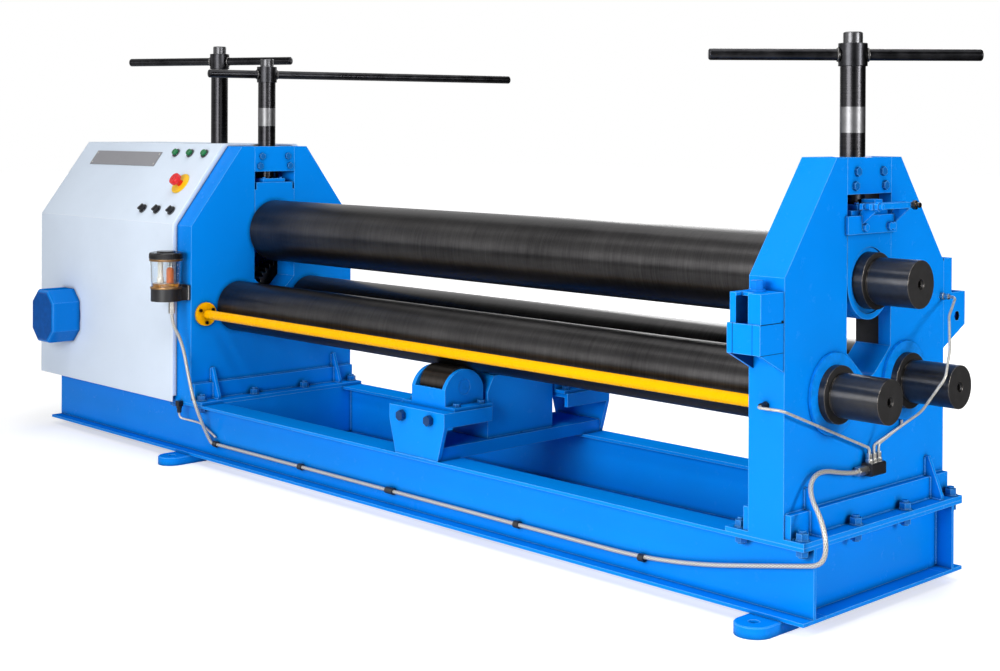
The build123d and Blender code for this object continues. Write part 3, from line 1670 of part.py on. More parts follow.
selector_names = ("left_selector", "middle_selector", "right_selector")
for selector_name, selector_x in zip(selector_names, selector_xs):
    save(selector(selector_x), selector_name)

with BuildPart() as emergency_stop_collar:
    with BuildSketch(panel):
        with Locations((estop_x, estop_up)):
            Circle(estop_collar_radius)
    extrude(amount=3)
    with BuildSketch(panel):
        with Locations((estop_x, estop_up)):
            Circle(button_radius + bezel_wall)
    extrude(amount=-bezel_barrel)
    with BuildSketch(panel.offset(3)):
        with Locations((estop_x, estop_up)):
            Circle(button_radius)
    extrude(amount=-25, mode=Mode.SUBTRACT)
save(emergency_stop_collar, "emergency_stop_collar")

with BuildPart() as emergency_stop_button:
    with BuildSketch(panel.offset(-stem_length)):
        with Locations((estop_x, estop_up)):
            Circle(button_radius - seat_gap)
    extrude(amount=stem_length + estop_stem)
    with BuildSketch(panel.offset(estop_stem)):
        with Locations((estop_x, estop_up)):
            Circle(estop_radius)
    extrude(amount=estop_head)
    fillet(emergency_stop_button.faces().sort_by(Axis.Z)[-1].edges(), 4)
save(emergency_stop_button, "emergency_stop_button")

# Cover over the motor's end: a shell with chamfered corners and a rounded front
with BuildPart() as motor_cover:
    with BuildSketch(Plane.XZ.offset(cabinet_front)) as cover_face:
        with Locations((motor_x, motor_z)):
            Rectangle(cover_width, cover_height)
        chamfer(cover_face.vertices(), cover_corner)
    extrude(amount=cover_depth)
    front_edges = motor_cover.faces().sort_by(Axis.Y)[0].edges()
    fillet(front_edges, cover_round)
    offset(amount=-sheet, openings=motor_cover.faces().sort_by(Axis.Y)[-1])
save(motor_cover, "motor_cover")
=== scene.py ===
"""Looks of the plate rolling machine: camera, light, materials and fine pieces around the CAD model."""

import json
from math import cos, pi, radians, sin

import bmesh
import bpy
from mathutils import Matrix, Vector


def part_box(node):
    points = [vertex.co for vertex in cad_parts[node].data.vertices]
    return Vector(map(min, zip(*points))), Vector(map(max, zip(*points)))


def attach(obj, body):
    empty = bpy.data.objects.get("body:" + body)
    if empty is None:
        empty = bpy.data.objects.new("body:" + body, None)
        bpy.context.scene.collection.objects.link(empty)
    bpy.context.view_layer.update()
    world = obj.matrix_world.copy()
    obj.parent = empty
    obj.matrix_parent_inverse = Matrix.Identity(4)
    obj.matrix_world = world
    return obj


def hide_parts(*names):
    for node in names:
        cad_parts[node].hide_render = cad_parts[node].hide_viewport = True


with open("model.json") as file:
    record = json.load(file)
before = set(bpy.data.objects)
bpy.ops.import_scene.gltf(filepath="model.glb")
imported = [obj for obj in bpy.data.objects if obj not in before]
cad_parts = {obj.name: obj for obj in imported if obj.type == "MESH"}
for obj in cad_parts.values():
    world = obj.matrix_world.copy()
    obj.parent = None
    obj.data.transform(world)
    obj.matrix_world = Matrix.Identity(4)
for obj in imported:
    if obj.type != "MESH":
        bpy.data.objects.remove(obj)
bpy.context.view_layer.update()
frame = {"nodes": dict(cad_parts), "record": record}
nodes = frame["nodes"]
scene = bpy.context.scene
scene.view_settings.view_transform = "Standard"

# Places on the machine in metres, as in the solids
housing_inner_x = 1.060
housing_outer_x = 1.150
housing_half_y = 0.311
upper_axis_z = 0.706
lower_axis_y = 0.139
lower_axis_z = 0.474
support_axis_y = 0.203
support_axis_z = 0.36326

# Camera at the photograph's place, for an image of 1000 by 671
image_width = 1000
image_height = 671
focal_pixels = 1549.44
axis_row = 136.91
sensor_width = 36
camera_place = (3.02956, -2.92609, 1.03023)
yaw = radians(46.15)
pitch = radians(-0.25)
roll = radians(0.26)
forward = Vector((-sin(yaw) * cos(pitch), cos(yaw) * cos(pitch), sin(pitch)))
level = forward.cross(Vector((0, 0, 1))).normalized()
upward = level.cross(forward)
camera_right = level * cos(roll) + upward * sin(roll)
camera_up = upward * cos(roll) - level * sin(roll)
lens = bpy.data.cameras.new("camera")
lens.sensor_width = sensor_width
lens.lens = sensor_width * focal_pixels / image_width
lens.shift_y = (axis_row - image_height / 2) / image_width
lens.clip_end = 100
camera = bpy.data.objects.new("camera", lens)
turn = Matrix((camera_right, camera_up, -forward)).transposed().to_4x4()
camera.matrix_world = Matrix.Translation(camera_place) @ turn
scene.collection.objects.link(camera)
scene.camera = camera


# Material graphs
class Graph:
    """A node material around one Principled shader. Masks have a soft border, in metres."""

    border = 0.0002

    def __init__(self, name):
        self.material = bpy.data.materials.new(name)
        self.material.use_nodes = True
        self.tree = self.material.node_tree
        self.shader = self.tree.nodes["Principled BSDF"]
        self.coords = self.add("ShaderNodeTexCoord").outputs["Object"]
        self.edges = None

    def add(self, kind, settings=None, **inputs):
        """A new node. Inputs are given by name with _ for a space, or as i0, i1 by place."""
        node = self.tree.nodes.new(kind)
        for key, value in (settings or {}).items():
            setattr(node, key, value)
        for key, value in inputs.items():
            place = int(key[1:]) if key[0] == "i" and key[1:].isdigit() else key.replace("_", " ")
            self.put(node.inputs[place], value)
        return node

    def put(self, socket, value):
        """A link or a constant on one input."""
        if isinstance(value, bpy.types.NodeSocket):
            self.tree.links.new(value, socket)
        else:
            socket.default_value = value

    def set(self, **inputs):
        """Links or constants on the shader's inputs."""
        for key, value in inputs.items():
            self.put(self.shader.inputs[key.replace("_", " ")], value)

    def math(self, operation, first, second=0.0):
        """Number worked out from one or two others."""
        return self.add("ShaderNodeMath", {"operation": operation}, i0=first, i1=second).outputs[0]

    def vector(self, operation, first, second=(0.0, 0.0, 0.0)):
        """Vector or number worked out from one or two vectors."""
        made = self.add("ShaderNodeVectorMath", {"operation": operation}, i0=first, i1=second)
        return made.outputs["Value" if operation in ("DOT_PRODUCT", "LENGTH") else "Vector"]

    def noise(self, scale, detail=3.0, rough=0.55, vector=None):
        """Noise in the machine's own coordinates, or in those of a vector."""
        vector = vector or self.coords
        made = self.add("ShaderNodeTexNoise", Vector=vector, Scale=scale, Detail=detail, Roughness=rough)
        return made.outputs[0]

    def streaked(self, scales, detail, rough):
        """Noise with a scale of its own along each axis."""
        stretched = self.add("ShaderNodeMapping", Vector=self.coords, Scale=scales).outputs[0]
        return self.noise(1.0, detail, rough, stretched)

    def span(self, value, low, high, to_low=0.0, to_high=1.0):
        """Value from low to high, spread from to_low to to_high."""
        made = self.add("ShaderNodeMapRange", i0=value, i1=low, i2=high, i3=to_low, i4=to_high)
        return made.outputs[0]

    def cloud(self, scale, detail=3.0, low=0.0, high=1.0):
        """Noise spread from low to high."""
        return self.span(self.noise(scale, detail), 0.3, 0.7, low, high)

    def mix(self, factor, first, second):
        """Colour between two others."""
        made = self.add("ShaderNodeMix", {"data_type": "RGBA", "clamp_factor": True})
        for place, value in ((0, factor), (6, first), (7, second)):
            self.put(made.inputs[place], value)
        return made.outputs[2]

    def blend(self, factor, first, second):
        """Number between two others."""
        return self.add("ShaderNodeMix", Factor=factor, A=first, B=second).outputs[0]

    def round_edges(self, radius):
        """Normal with rounded edges. The mask in edges is then 1 on them."""
        rounded = self.add("ShaderNodeBevel", {"samples": 4}, Radius=radius).outputs[0]
        flat = self.add("ShaderNodeNewGeometry").outputs["Normal"]
        self.edges = self.span(self.vector("DOT_PRODUCT", rounded, flat), 0.995, 0.86)
        return rounded

    def corner_shade(self, reach, depth):
        """Share of light left in corners and gaps narrower than reach, down to depth in the deepest; painted
        into colours as shade.
        """
        open_share = self.add("ShaderNodeAmbientOcclusion", {"samples": 6}, Distance=reach).outputs["AO"]
        return self.span(open_share, 0.30, 0.92, depth, 1.0)

    def bump(self, height, strength, distance, normal=None):
        """Normal with a fine relief."""
        inputs = {"Height": height, "Strength": strength, "Distance": distance}
        if normal is not None:
            inputs["Normal"] = normal
        return self.add("ShaderNodeBump", **inputs).outputs[0]

    def axis(self, letter):
        """Place along one axis of the machine."""
        return self.add("ShaderNodeSeparateXYZ", Vector=self.coords).outputs[letter]

    def lean(self, letter, normal="Normal"):
        """How far the surface's normal points along one axis, either way."""
        whole = self.add("ShaderNodeNewGeometry").outputs[normal]
        return self.math("ABSOLUTE", self.add("ShaderNodeSeparateXYZ", Vector=whole).outputs[letter])

    def between(self, value, low, high, soft):
        """1 where value is between low and high."""
        above = self.span(value, low - soft, low + soft)
        below = self.span(value, high + soft, high - soft)
        return self.math("MULTIPLY", above, below)

    def band(self, letter, low, high, soft):
        """1 between two places along one axis."""
        return self.between(self.axis(letter), low, high, soft)

    def near(self, letter, place, half):
        """1 within half of a place along one axis."""
        return self.band(letter, place - half, place + half, self.border)

    def past(self, letter, start, end):
        """0 up to start and 1 from end on, along one axis in either direction."""
        return self.span(self.axis(letter), start, end)

    def out(self, letter, reach):
        """1 farther than reach from the middle along one axis."""
        return self.span(self.math("ABSOLUTE", self.axis(letter)), reach - self.border, reach + self.border)

    def facing(self, letter):
        """1 on faces square to one axis."""
        return self.span(self.lean(letter, "True Normal"), 0.9, 0.97)

    def every(self, first, *others):
        """1 where all the masks are 1."""
        for other in others:
            first = self.math("MULTIPLY", first, other)
        return first

    def either(self, first, second):
        """1 where one of the masks is 1."""
        return self.math("MAXIMUM", first, second)

    def less(self, first, *others):
        """The first mask without the others."""
        for other in others:
            first = self.math("SUBTRACT", first, other)
        return first

    def over(self, mask, colour, metallic, rough, gloss=0.5):
        """Another finish over the first one, where mask is 1."""
        base = self.shader.inputs["Base Color"].links[0].from_socket
        shade = self.mix(self.cloud(60.0, 4.0), tint(colour, 0.85), tint(colour, 1.12))
        self.set(Base_Color=self.mix(mask, base, shade))
        for key, value in (("Metallic", metallic), ("Roughness", rough), ("Specular IOR Level", gloss)):
            socket = self.shader.inputs[key]
            below = socket.links[0].from_socket if socket.is_linked else socket.default_value
            self.put(socket, self.blend(mask, below, value))


def tint(colour, factor):
    """Colour made darker or lighter, without going past 1."""
    return tuple(min(1.0, c * factor) for c in colour[:3]) + (1.0,)


def painted(name, colour, rough, edge_highlight_colour, edge_radius=0.0024, gloss=0.12):
    """Sprayed paint: cloudy tone, fine peel and scuffs in the gloss, pale edges that are partly wear and
    partly a painted highlight, and painted shade darkening the corners.

    Level faces carry dust and have no gloss.
    """
    g = Graph(name)
    tone = g.mix(g.cloud(1.7, 4.0), tint(colour, 0.93), tint(colour, 1.06))
    scuff = g.noise(31.0, 7.0, 0.7)
    tone = g.mix(g.span(scuff, 0.56, 0.8, 0.0, 0.18), tone, tint(colour, 0.85))
    normal = g.round_edges(edge_radius)
    # Pale edges where the scuff noise allows: partly wear, partly a painted highlight
    tone = g.mix(g.every(g.edges, g.span(scuff, 0.3, 0.6, 0.7, 0.95)), tone, edge_highlight_colour)
    # Painted shade: the colour goes dark in corners and narrow gaps
    g.set(Base_Color=g.mix(g.corner_shade(reach=0.016, depth=0.16), tint(colour, 0.06), tone))
    g.set(Roughness=g.span(scuff, 0.3, 0.75, rough - 0.06, rough + 0.10))
    g.set(Normal=g.bump(g.noise(420.0, 2.0), 0.06, 0.0005, normal))
    g.set(Specular_IOR_Level=g.span(g.facing("Z"), 0.0, 1.0, gloss, 0.0))
    return g


def steel(name, dark, light, rough, streaks, metallic=1.0, edge_radius=0.0025, cut_depth=0.12):
    """Machined steel with streaks; streaks is the scale of the cut marks along X, Y and Z."""
    g = Graph(name)
    cut = g.streaked(streaks, 3.0, 0.6)
    both = g.math("ADD", g.math("MULTIPLY", cut, 0.6), g.math("MULTIPLY", g.noise(5.0, 6.0, 0.65), 0.4))
    normal = g.round_edges(edge_radius)
    tone = g.mix(g.span(both, 0.35, 0.65), dark, light)
    # Painted highlight: the edges are lighter than the steel
    g.set(Base_Color=g.mix(g.math("MULTIPLY", g.edges, 0.8), tone, tint(light, 2.2)))
    g.set(Metallic=metallic)
    g.set(Roughness=g.span(both, 0.3, 0.7, rough - 0.07, rough + 0.1))
    g.set(Normal=g.bump(cut, cut_depth, 0.0004, normal))
    return g


def turned_steel(name, axis_y, axis_z, dark, light, rough):
    """Dark steel turned about an axis along X: fine cut marks round it and rings on its end faces."""
    g = Graph(name)
    ends = g.facing("X")
    cut = g.streaked((1500.0, 14.0, 14.0), 2.0, 0.5)
    cloud = g.streaked((4.0, 9.0, 9.0), 5.0, 0.6)
    streak = g.streaked((130.0, 5.0, 5.0), 3.0, 0.6)
    from_axis = g.vector("SUBTRACT", g.coords, (0.0, axis_y, axis_z))
    distance = g.vector("LENGTH", g.vector("MULTIPLY", from_axis, (0.0, 1.0, 1.0)))
    ring_place = g.add("ShaderNodeCombineXYZ", X=g.math("MULTIPLY", distance, 700.0)).outputs[0]
    marks = g.blend(ends, cut, g.noise(1.0, 2.0, 0.5, ring_place))
    normal = g.round_edges(0.002)
    both = g.math("ADD", g.math("MULTIPLY", marks, 0.40), g.math("MULTIPLY", cloud, 0.42))
    both = g.math("ADD", both, g.math("MULTIPLY", streak, 0.18))
    tone = g.mix(g.span(both, 0.38, 0.62), dark, light)
    # Painted highlight: the edges are much lighter than the steel
    g.set(Base_Color=g.mix(g.math("MULTIPLY", g.edges, 0.8), tone, tint(light, 5.0)))
    g.set(Metallic=0.9)
    g.set(Roughness=g.span(both, 0.3, 0.7, rough - 0.05, rough + 0.09))
    g.set(Normal=g.bump(marks, 0.10, 0.0003, normal))
    surface = g.add("ShaderNodeNewGeometry").outputs["Normal"]
    g.set(Anisotropic=g.span(ends, 0.0, 0.2, 0.85, 0.0), Anisotropic_Rotation=0.25)
    g.set(Tangent=g.vector("CROSS_PRODUCT", (1.0, 0.0, 0.0), surface))
    g.over(ends, tint(light, 0.75), 0.45, 0.4)
    return g


def plastic(name, colour, rough):
    """Moulded plastic with a fine grain."""
    g = Graph(name)
    normal = g.round_edges(0.0012)
    tone = g.mix(g.cloud(40.0, 4.0), tint(colour, 0.9), tint(colour, 1.1))
    # Painted highlight: the edges are lighter than the plastic
    g.set(Base_Color=g.mix(g.math("MULTIPLY", g.edges, 0.35), tone, tint(colour, 1.7)))
    g.set(Roughness=g.cloud(40.0, 4.0, rough - 0.05, rough + 0.08))
    g.set(Normal=g.bump(g.noise(900.0), 0.08, 0.0002, normal))
    return g


# Paints
blue = (0.0008, 0.232, 0.81, 1.0)
# Darker blue of the bolts: the machine's paint with painted shade in it
shaded_bolt_blue = (0.0008, 0.15, 0.52, 1.0)
# Pale blue of the edges: partly wear, partly a painted highlight
edge_highlight_blue = (0.17, 0.54, 1.0, 1.0)


def blue_finish(name, edge_radius=0.0024):
    """The machine's blue paint."""
    return painted(name, blue, 0.22, edge_highlight_blue, edge_radius, 0.08)


def cover_finish(name):
    """Blue of the motor cover, with painted shade on its front and a painted highlight on its slopes."""
    g = painted(name, (0.0008, 0.165, 0.60, 1.0), 0.22, (0.06, 0.30, 0.86, 1.0), 0.005, 0.08)
    # Painted shade: the front is darker
    g.over(g.facing("Y"), (0.0008, 0.082, 0.36, 1.0), 0.0, 0.3, 0.08)
    # Painted highlight: a pale line along the rounded slopes
    slope_highlight = g.between(g.lean("Y"), 0.66, 0.74, 0.07)
    g.over(slope_highlight, (0.04, 0.27, 0.78, 1.0), 0.0, 0.25, 0.2)
    return g


blue_paint = blue_finish("blue_paint")
carrier_paint = blue_finish("carrier_paint", 0.0012)
cover_paint = cover_finish("cover_paint")
bolt_paint = painted("bolt_paint", shaded_bolt_blue, 0.28, edge_highlight_blue, 0.002, 0.3)
yellow_paint = painted("yellow_paint", (0.93, 0.44, 0.001, 1.0), 0.26, (1.0, 0.60, 0.03, 1.0), gloss=0.05)
white_paint = painted("white_paint", (0.70, 0.79, 0.91, 1.0), 0.36, (0.95, 0.97, 1.0, 1.0), 0.004)
grey_plate = painted("grey_plate", (0.30, 0.30, 0.32, 1.0), 0.42, (0.5, 0.5, 0.52, 1.0), 0.001)

# Rolls and support rollers
roll_dark = (0.020, 0.019, 0.020, 1.0)
roll_light = (0.056, 0.054, 0.054, 1.0)
stub_grey = (0.050, 0.049, 0.049, 1.0)
rim_highlight = (0.30, 0.27, 0.24, 1.0)
stub_start_x = housing_outer_x + 0.002


def roll_finish(name, axis_y, axis_z):
    """Dark roll with a plain stub outside the housing, and a painted highlight on the stub's rims."""
    g = turned_steel(name, axis_y, axis_z, roll_dark, roll_light, 0.31)
    on_stub = g.out("X", stub_start_x)
    g.over(g.less(on_stub, g.facing("X")), stub_grey, 0.8, 0.34)
    # Painted highlight on the stub's rims
    g.over(g.every(g.edges, on_stub), rim_highlight, 0.9, 0.3)
    return g


roller_dark = (0.018, 0.015, 0.013, 1.0)
roller_light = (0.040, 0.034, 0.030, 1.0)
roller_half_length = 0.060


def roller_finish(name, axis_y):
    """Brown-black support roller with blue ends on its shaft."""
    g = turned_steel(name, axis_y, support_axis_z, roller_dark, roller_light, 0.45)
    g.over(g.out("X", roller_half_length), blue, 0.0, 0.35, 0.12)
    return g


# Screws and hand bars
black_steel = (0.015, 0.015, 0.017, 1)


def screw_finish(name, band=None):
    """Dark turned screw, bare and bright on a band between two heights."""
    g = steel(name, black_steel, (0.044, 0.043, 0.046, 1), 0.25, (8.0, 8.0, 1300.0), 1.0, 0.001, 0.03)
    if band:
        g.over(g.band("Z", band[0], band[1], 0.0006), (0.18, 0.18, 0.185, 1), 0.9, 0.40)
    return g


def bar_finish(name, bright_above):
    """Blackened bar and hub, with the hub's top machined bright."""
    g = steel(name, black_steel, (0.046, 0.046, 0.050, 1), 0.30, (25.0, 25.0, 25.0), 1.0, 0.002, 0.03)
    g.over(g.past("Z", bright_above, bright_above + 0.0004), (0.095, 0.095, 0.10, 1), 0.9, 0.34)
    return g


# Other metals
def zinc_finish(name):
    """Pale zinc-coated steel."""
    return steel(name, (0.42, 0.41, 0.38, 1), (0.66, 0.64, 0.59, 1), 0.30, (120.0, 120.0, 120.0))


def bronze_finish(name):
    """Turned bronze."""
    return steel(name, (0.36, 0.21, 0.07, 1), (0.62, 0.40, 0.15, 1), 0.32, (150.0, 30.0, 30.0))


def bush_finish(name):
    """Bronze bushes, painted blue with the housing on their end faces and outside it."""
    g = bronze_finish(name)
    outside = g.either(g.facing("X"), g.out("X", housing_outer_x - 0.0005))
    g.over(outside, blue, 0.0, 0.35, 0.12)
    return g


def fitting_finish(name):
    """Zinc fittings. Those in front of the left foot and of the right housing are black."""
    g = zinc_finish(name)
    right_half = g.past("X", 0.0, 0.1)
    by_the_foot = g.past("Z", 0.31, 0.30)
    in_front = g.past("Y", 0.0055 - housing_half_y, 0.0035 - housing_half_y)
    g.over(g.every(g.either(right_half, by_the_foot), in_front), (0.030, 0.030, 0.032, 1), 0.8, 0.3)
    return g


gear_steel = steel("gear_steel", (0.16, 0.155, 0.15, 1), (0.34, 0.33, 0.32, 1), 0.32, (180.0, 40.0, 40.0))
bolt_steel = steel("bolt_steel", (0.05, 0.05, 0.055, 1), (0.16, 0.155, 0.15, 1), 0.36, (90.0, 90.0, 90.0))
bezel_metal = steel(
    "bezel_metal", (0.05, 0.05, 0.055, 1), (0.15, 0.15, 0.16, 1), 0.22, (200.0, 200.0, 200.0), 1.0, 0.001
)
pipe_metal = steel(
    "pipe_metal", (0.44, 0.42, 0.37, 1), (0.68, 0.66, 0.60, 1), 0.32, (120.0, 120.0, 120.0), 0.35, 0.001
)
zinc_steel = zinc_finish("zinc_steel")
bush_bronze = bush_finish("bush_bronze")

# Brackets of the right housing, with seams between their plates, and painted shade in the front bracket's
# slot, gap and ribs and in the rear bracket's hole
bracket_floor = 0.577
bracket_step = 0.639
bracket_top = 0.702
bracket_bolt_y = -0.3446
slot_low_x = 1.086
slot_high_x = 1.116
slot_middle_z = 0.667
rib_inner_x = 1.072
inner_seam_x = 1.078
outer_seam_x = 1.128
rear_hole_y = 0.371
rear_hole_z = 0.599
rear_hole_half = 0.0135
wall_half = 0.0008
wide_seam_half = 0.0011
middle_seam_half = 0.0010
thin_seam_half = 0.0007
# Painted shade: the gap, slot and rib colours stand in for shade; the seam colour is the dark of the joints
gap_shade_black = (0.003, 0.006, 0.012, 1)
seam_blue = (0.0008, 0.035, 0.12, 1)
slot_shade_blue = (0.0008, 0.055, 0.20, 1)
shade_blue = (0.0008, 0.03, 0.115, 1)


def bracket_finish(name):
    """Front bracket: dark seams on its side and front, and painted shade inside its slot, in a gap on its
    side and between its ribs.
    """
    g = blue_finish(name)
    side = g.facing("X")
    step_seam = g.near("Z", bracket_step, wide_seam_half)
    floor_seam = g.near("Z", bracket_floor, thin_seam_half)
    inner_seam = g.near("X", inner_seam_x, middle_seam_half)
    outer_seam = g.near("X", outer_seam_x, thin_seam_half)
    on_box = g.near("Z", (bracket_step + bracket_floor) / 2, (bracket_step - bracket_floor) / 2)
    side_seams = g.every(g.either(step_seam, floor_seam), side)
    front_seams = g.every(g.either(inner_seam, outer_seam), g.facing("Y"), on_box)
    g.over(g.either(side_seams, front_seams), seam_blue, 0.0, 0.5, 0.05)
    # Painted shade inside the slot
    slot_wall_shade = g.every(g.near("X", slot_low_x, wall_half), g.near("Z", slot_middle_z, 0.028))
    g.over(slot_wall_shade, slot_shade_blue, 0.0, 0.5, 0.05)
    # Painted shade of a gap on the side
    gap_y = g.near("Y", -housing_half_y - 0.0045, 0.004)
    gap_z = g.near("Z", bracket_step + 0.0015, 0.003)
    g.over(g.every(gap_y, gap_z, side), gap_shade_black, 0.0, 0.6, 0.05)
    # Painted shade between the ribs
    rib_wall_shade = g.every(g.near("X", rib_inner_x, wall_half), g.past("Z", bracket_floor, bracket_floor - 0.001))
    g.over(rib_wall_shade, shade_blue, 0.0, 0.5, 0.05)
    return g


def rear_bracket_finish(name):
    """Rear bracket with painted shade on the walls of its hole."""
    g = blue_finish(name)
    round_hole = g.every(g.near("Y", rear_hole_y, rear_hole_half), g.near("Z", rear_hole_z, rear_hole_half))
    # Painted shade on the hole's walls
    g.over(g.every(round_hole, g.less(1.0, g.facing("X"))), (0.004, 0.005, 0.008, 1), 0.0, 0.6, 0.05)
    return g


# Housings: dark bare guides in the right slot, partly painted shade, and painted shade on the housing edge
# behind the bracket's slot
guide_half_y = 0.090
guide_outer_x = 1.119
guide_low_z = 0.556
guide_high_z = 0.92


def housing_finish(name):
    """Blue housing plates; the right slot's guide faces dark bare steel that is partly painted shade, and
    painted shade behind the bracket's slot.
    """
    g = blue_finish(name)
    # Dark steel on the right slot's guide faces: partly bare guides, partly painted shade
    guide_and_shade = g.less(1.0, g.facing("X"), g.out("Y", guide_half_y), g.out("X", guide_outer_x))
    guide_and_shade = g.every(guide_and_shade, g.band("Z", guide_low_z, guide_high_z, 0.001), g.past("X", 0.0, 0.1))
    g.over(guide_and_shade, (0.018, 0.018, 0.020, 1), 0.6, 0.4)
    # Painted shade on the housing's front edge behind the bracket's slot
    slot_x = g.near("X", (slot_low_x + slot_high_x) / 2, (slot_high_x - slot_low_x) / 2)
    slot_z = g.near("Z", slot_middle_z, 0.027)
    front_edge_shade = g.every(g.facing("Y"), g.past("Y", -0.300, -0.305))
    g.over(g.every(front_edge_shade, slot_x, slot_z), (0.002, 0.006, 0.015, 1), 0.0, 0.6, 0.05)
    return g


rail_screws_low = 0.41
rail_screws_high = 0.50
rail_screws_y = -0.22
stand_bolts_y = 0.28
stand_bolts_high = 0.39
stand_half_x = 0.2
clamp_bolt_end_x = 1.1968


def frame_bolt_finish(name):
    """Blue bolts darkened as painted shade: dark metal at the rail's flanges, darker at the stands and
    lighter on the front bracket.
    """
    # Painted shade: the bolts' blue is darkened
    g = painted(name, (0.0008, 0.125, 0.44, 1.0), 0.28, edge_highlight_blue, 0.002, 0.3)
    rail_height = g.band("Z", rail_screws_low, rail_screws_high, 0.001)
    rail_screws = g.every(rail_height, g.past("Y", rail_screws_y + 0.005, rail_screws_y))
    g.over(rail_screws, (0.035, 0.030, 0.026, 1), 1.0, 0.36)
    low_sides = g.every(g.out("Y", stand_bolts_y), g.past("Z", stand_bolts_high + 0.01, stand_bolts_high))
    g.over(g.less(low_sides, g.out("X", stand_half_x)), (0.004, 0.045, 0.16, 1), 0.3, 0.3, 0.4)
    on_bracket = g.every(g.near("Y", bracket_bolt_y, 0.025), g.out("X", 1.0))
    above = g.past("Z", bracket_top - 0.003, bracket_top - 0.001)
    g.over(g.every(on_bracket, above), (0.0008, 0.19, 0.68, 1), 0.0, 0.4, 0.08)
    return g


def clamp_finish(name):
    """Blue clamp on the right bearing block, with the end of its rear tie bolt bare."""
    g = blue_finish(name)
    bolt_end = g.every(g.out("X", clamp_bolt_end_x), g.past("Y", 0.04, 0.05))
    g.over(bolt_end, (0.11, 0.085, 0.06, 1), 1.0, 0.3)
    return g


housing_paint = housing_finish("housing_paint")

# Plastics
black_plastic = plastic("black_plastic", (0.012, 0.012, 0.014), 0.36)
lid_plastic = plastic("lid_plastic", (0.010, 0.010, 0.011), 0.16)
orange = plastic("orange_plastic", (0.62, 0.15, 0.03), 0.4)
ivory = plastic("ivory_plastic", (0.78, 0.76, 0.68), 0.35)

clear = Graph("clear_plastic")
clear.set(Base_Color=clear.mix(clear.cloud(26.0), (0.93, 0.96, 0.98, 1), (0.99, 1.0, 1.0, 1)))
clear.set(Transmission_Weight=1.0, IOR=1.35)
clear.set(Roughness=clear.span(clear.noise(60.0, 4.0), 0.3, 0.75, 0.01, 0.07))

oil = Graph("oil")
oil.set(Base_Color=oil.mix(oil.cloud(30.0), (0.60, 0.23, 0.03, 1), (0.72, 0.34, 0.06, 1)))
oil.set(Transmission_Weight=0.55, IOR=1.45)
oil.set(Roughness=oil.cloud(90.0, 3.0, 0.05, 0.12))

# One finish for each material of the record, and special ones for some nodes
finish_of = {
    "blue_paint": blue_paint,
    "black_steel": roll_finish("roll_steel", 0.0, upper_axis_z),
    "bronze": bronze_finish("bronze"),
    "zinc_steel": zinc_steel,
    "gear_steel": gear_steel,
    "yellow_paint": yellow_paint,
    "white_paint": white_paint,
    "grey_plate": grey_plate,
    "bezel_metal": bezel_metal,
    "green_plastic": plastic("green_plastic", (0.003, 0.16, 0.044), 0.22),
    "yellow_plastic": plastic("yellow_plastic", (0.92, 0.56, 0.006), 0.36),
    "red_plastic": plastic("red_plastic", (0.66, 0.007, 0.009), 0.24),
    "black_plastic": black_plastic,
    "clear_plastic": clear,
    "braided_hose": zinc_steel,
}
special = {
    "lower_front_roll": roll_finish("front_roll_steel", -lower_axis_y, lower_axis_z),
    "lower_rear_roll": roll_finish("rear_roll_steel", lower_axis_y, lower_axis_z),
    "front_support_roller": roller_finish("front_roller_steel", -support_axis_y),
    "rear_support_roller": roller_finish("rear_roller_steel", support_axis_y),
    "right_screw": screw_finish("right_screw_steel", (1.028, 1.085)),
    "left_screw": screw_finish("left_screw_steel", (1.040, 1.098)),
    "tail_screw": screw_finish("tail_screw_steel"),
    "right_handle": bar_finish("right_bar_steel", 1.2252),
    "left_handle": bar_finish("left_bar_steel", 1.2312),
    "tail_handle": bar_finish("tail_bar_steel", 1.2812),
    "base_bolts": bolt_paint,
    "frame_bolts": frame_bolt_finish("frame_bolt_paint"),
    "lower_bushes": bush_bronze,
    "upper_bushes": bush_bronze,
    "lift_clamp": clamp_finish("clamp_paint"),
    "right_housing": housing_paint,
    "left_housing": housing_paint,
    "motor_cover": cover_paint,
    "oil_manifold": black_plastic,
    "oil_pipes": pipe_metal,
    "pipe_fittings": fitting_finish("fitting_metal"),
    "front_carrier": carrier_paint,
    "rear_carrier": carrier_paint,
    "front_bracket": bracket_finish("bracket_paint"),
    "rear_bracket": rear_bracket_finish("rear_bracket_paint"),
}
slot_of = {}
for subpart in frame["record"]["subparts"]:
    slot_of[subpart["node"]] = subpart["material_slot"]
for name, piece in nodes.items():
    graph = special.get(name) or finish_of[slot_of[name]]
    piece.data.materials.clear()
    piece.data.materials.append(graph.material)


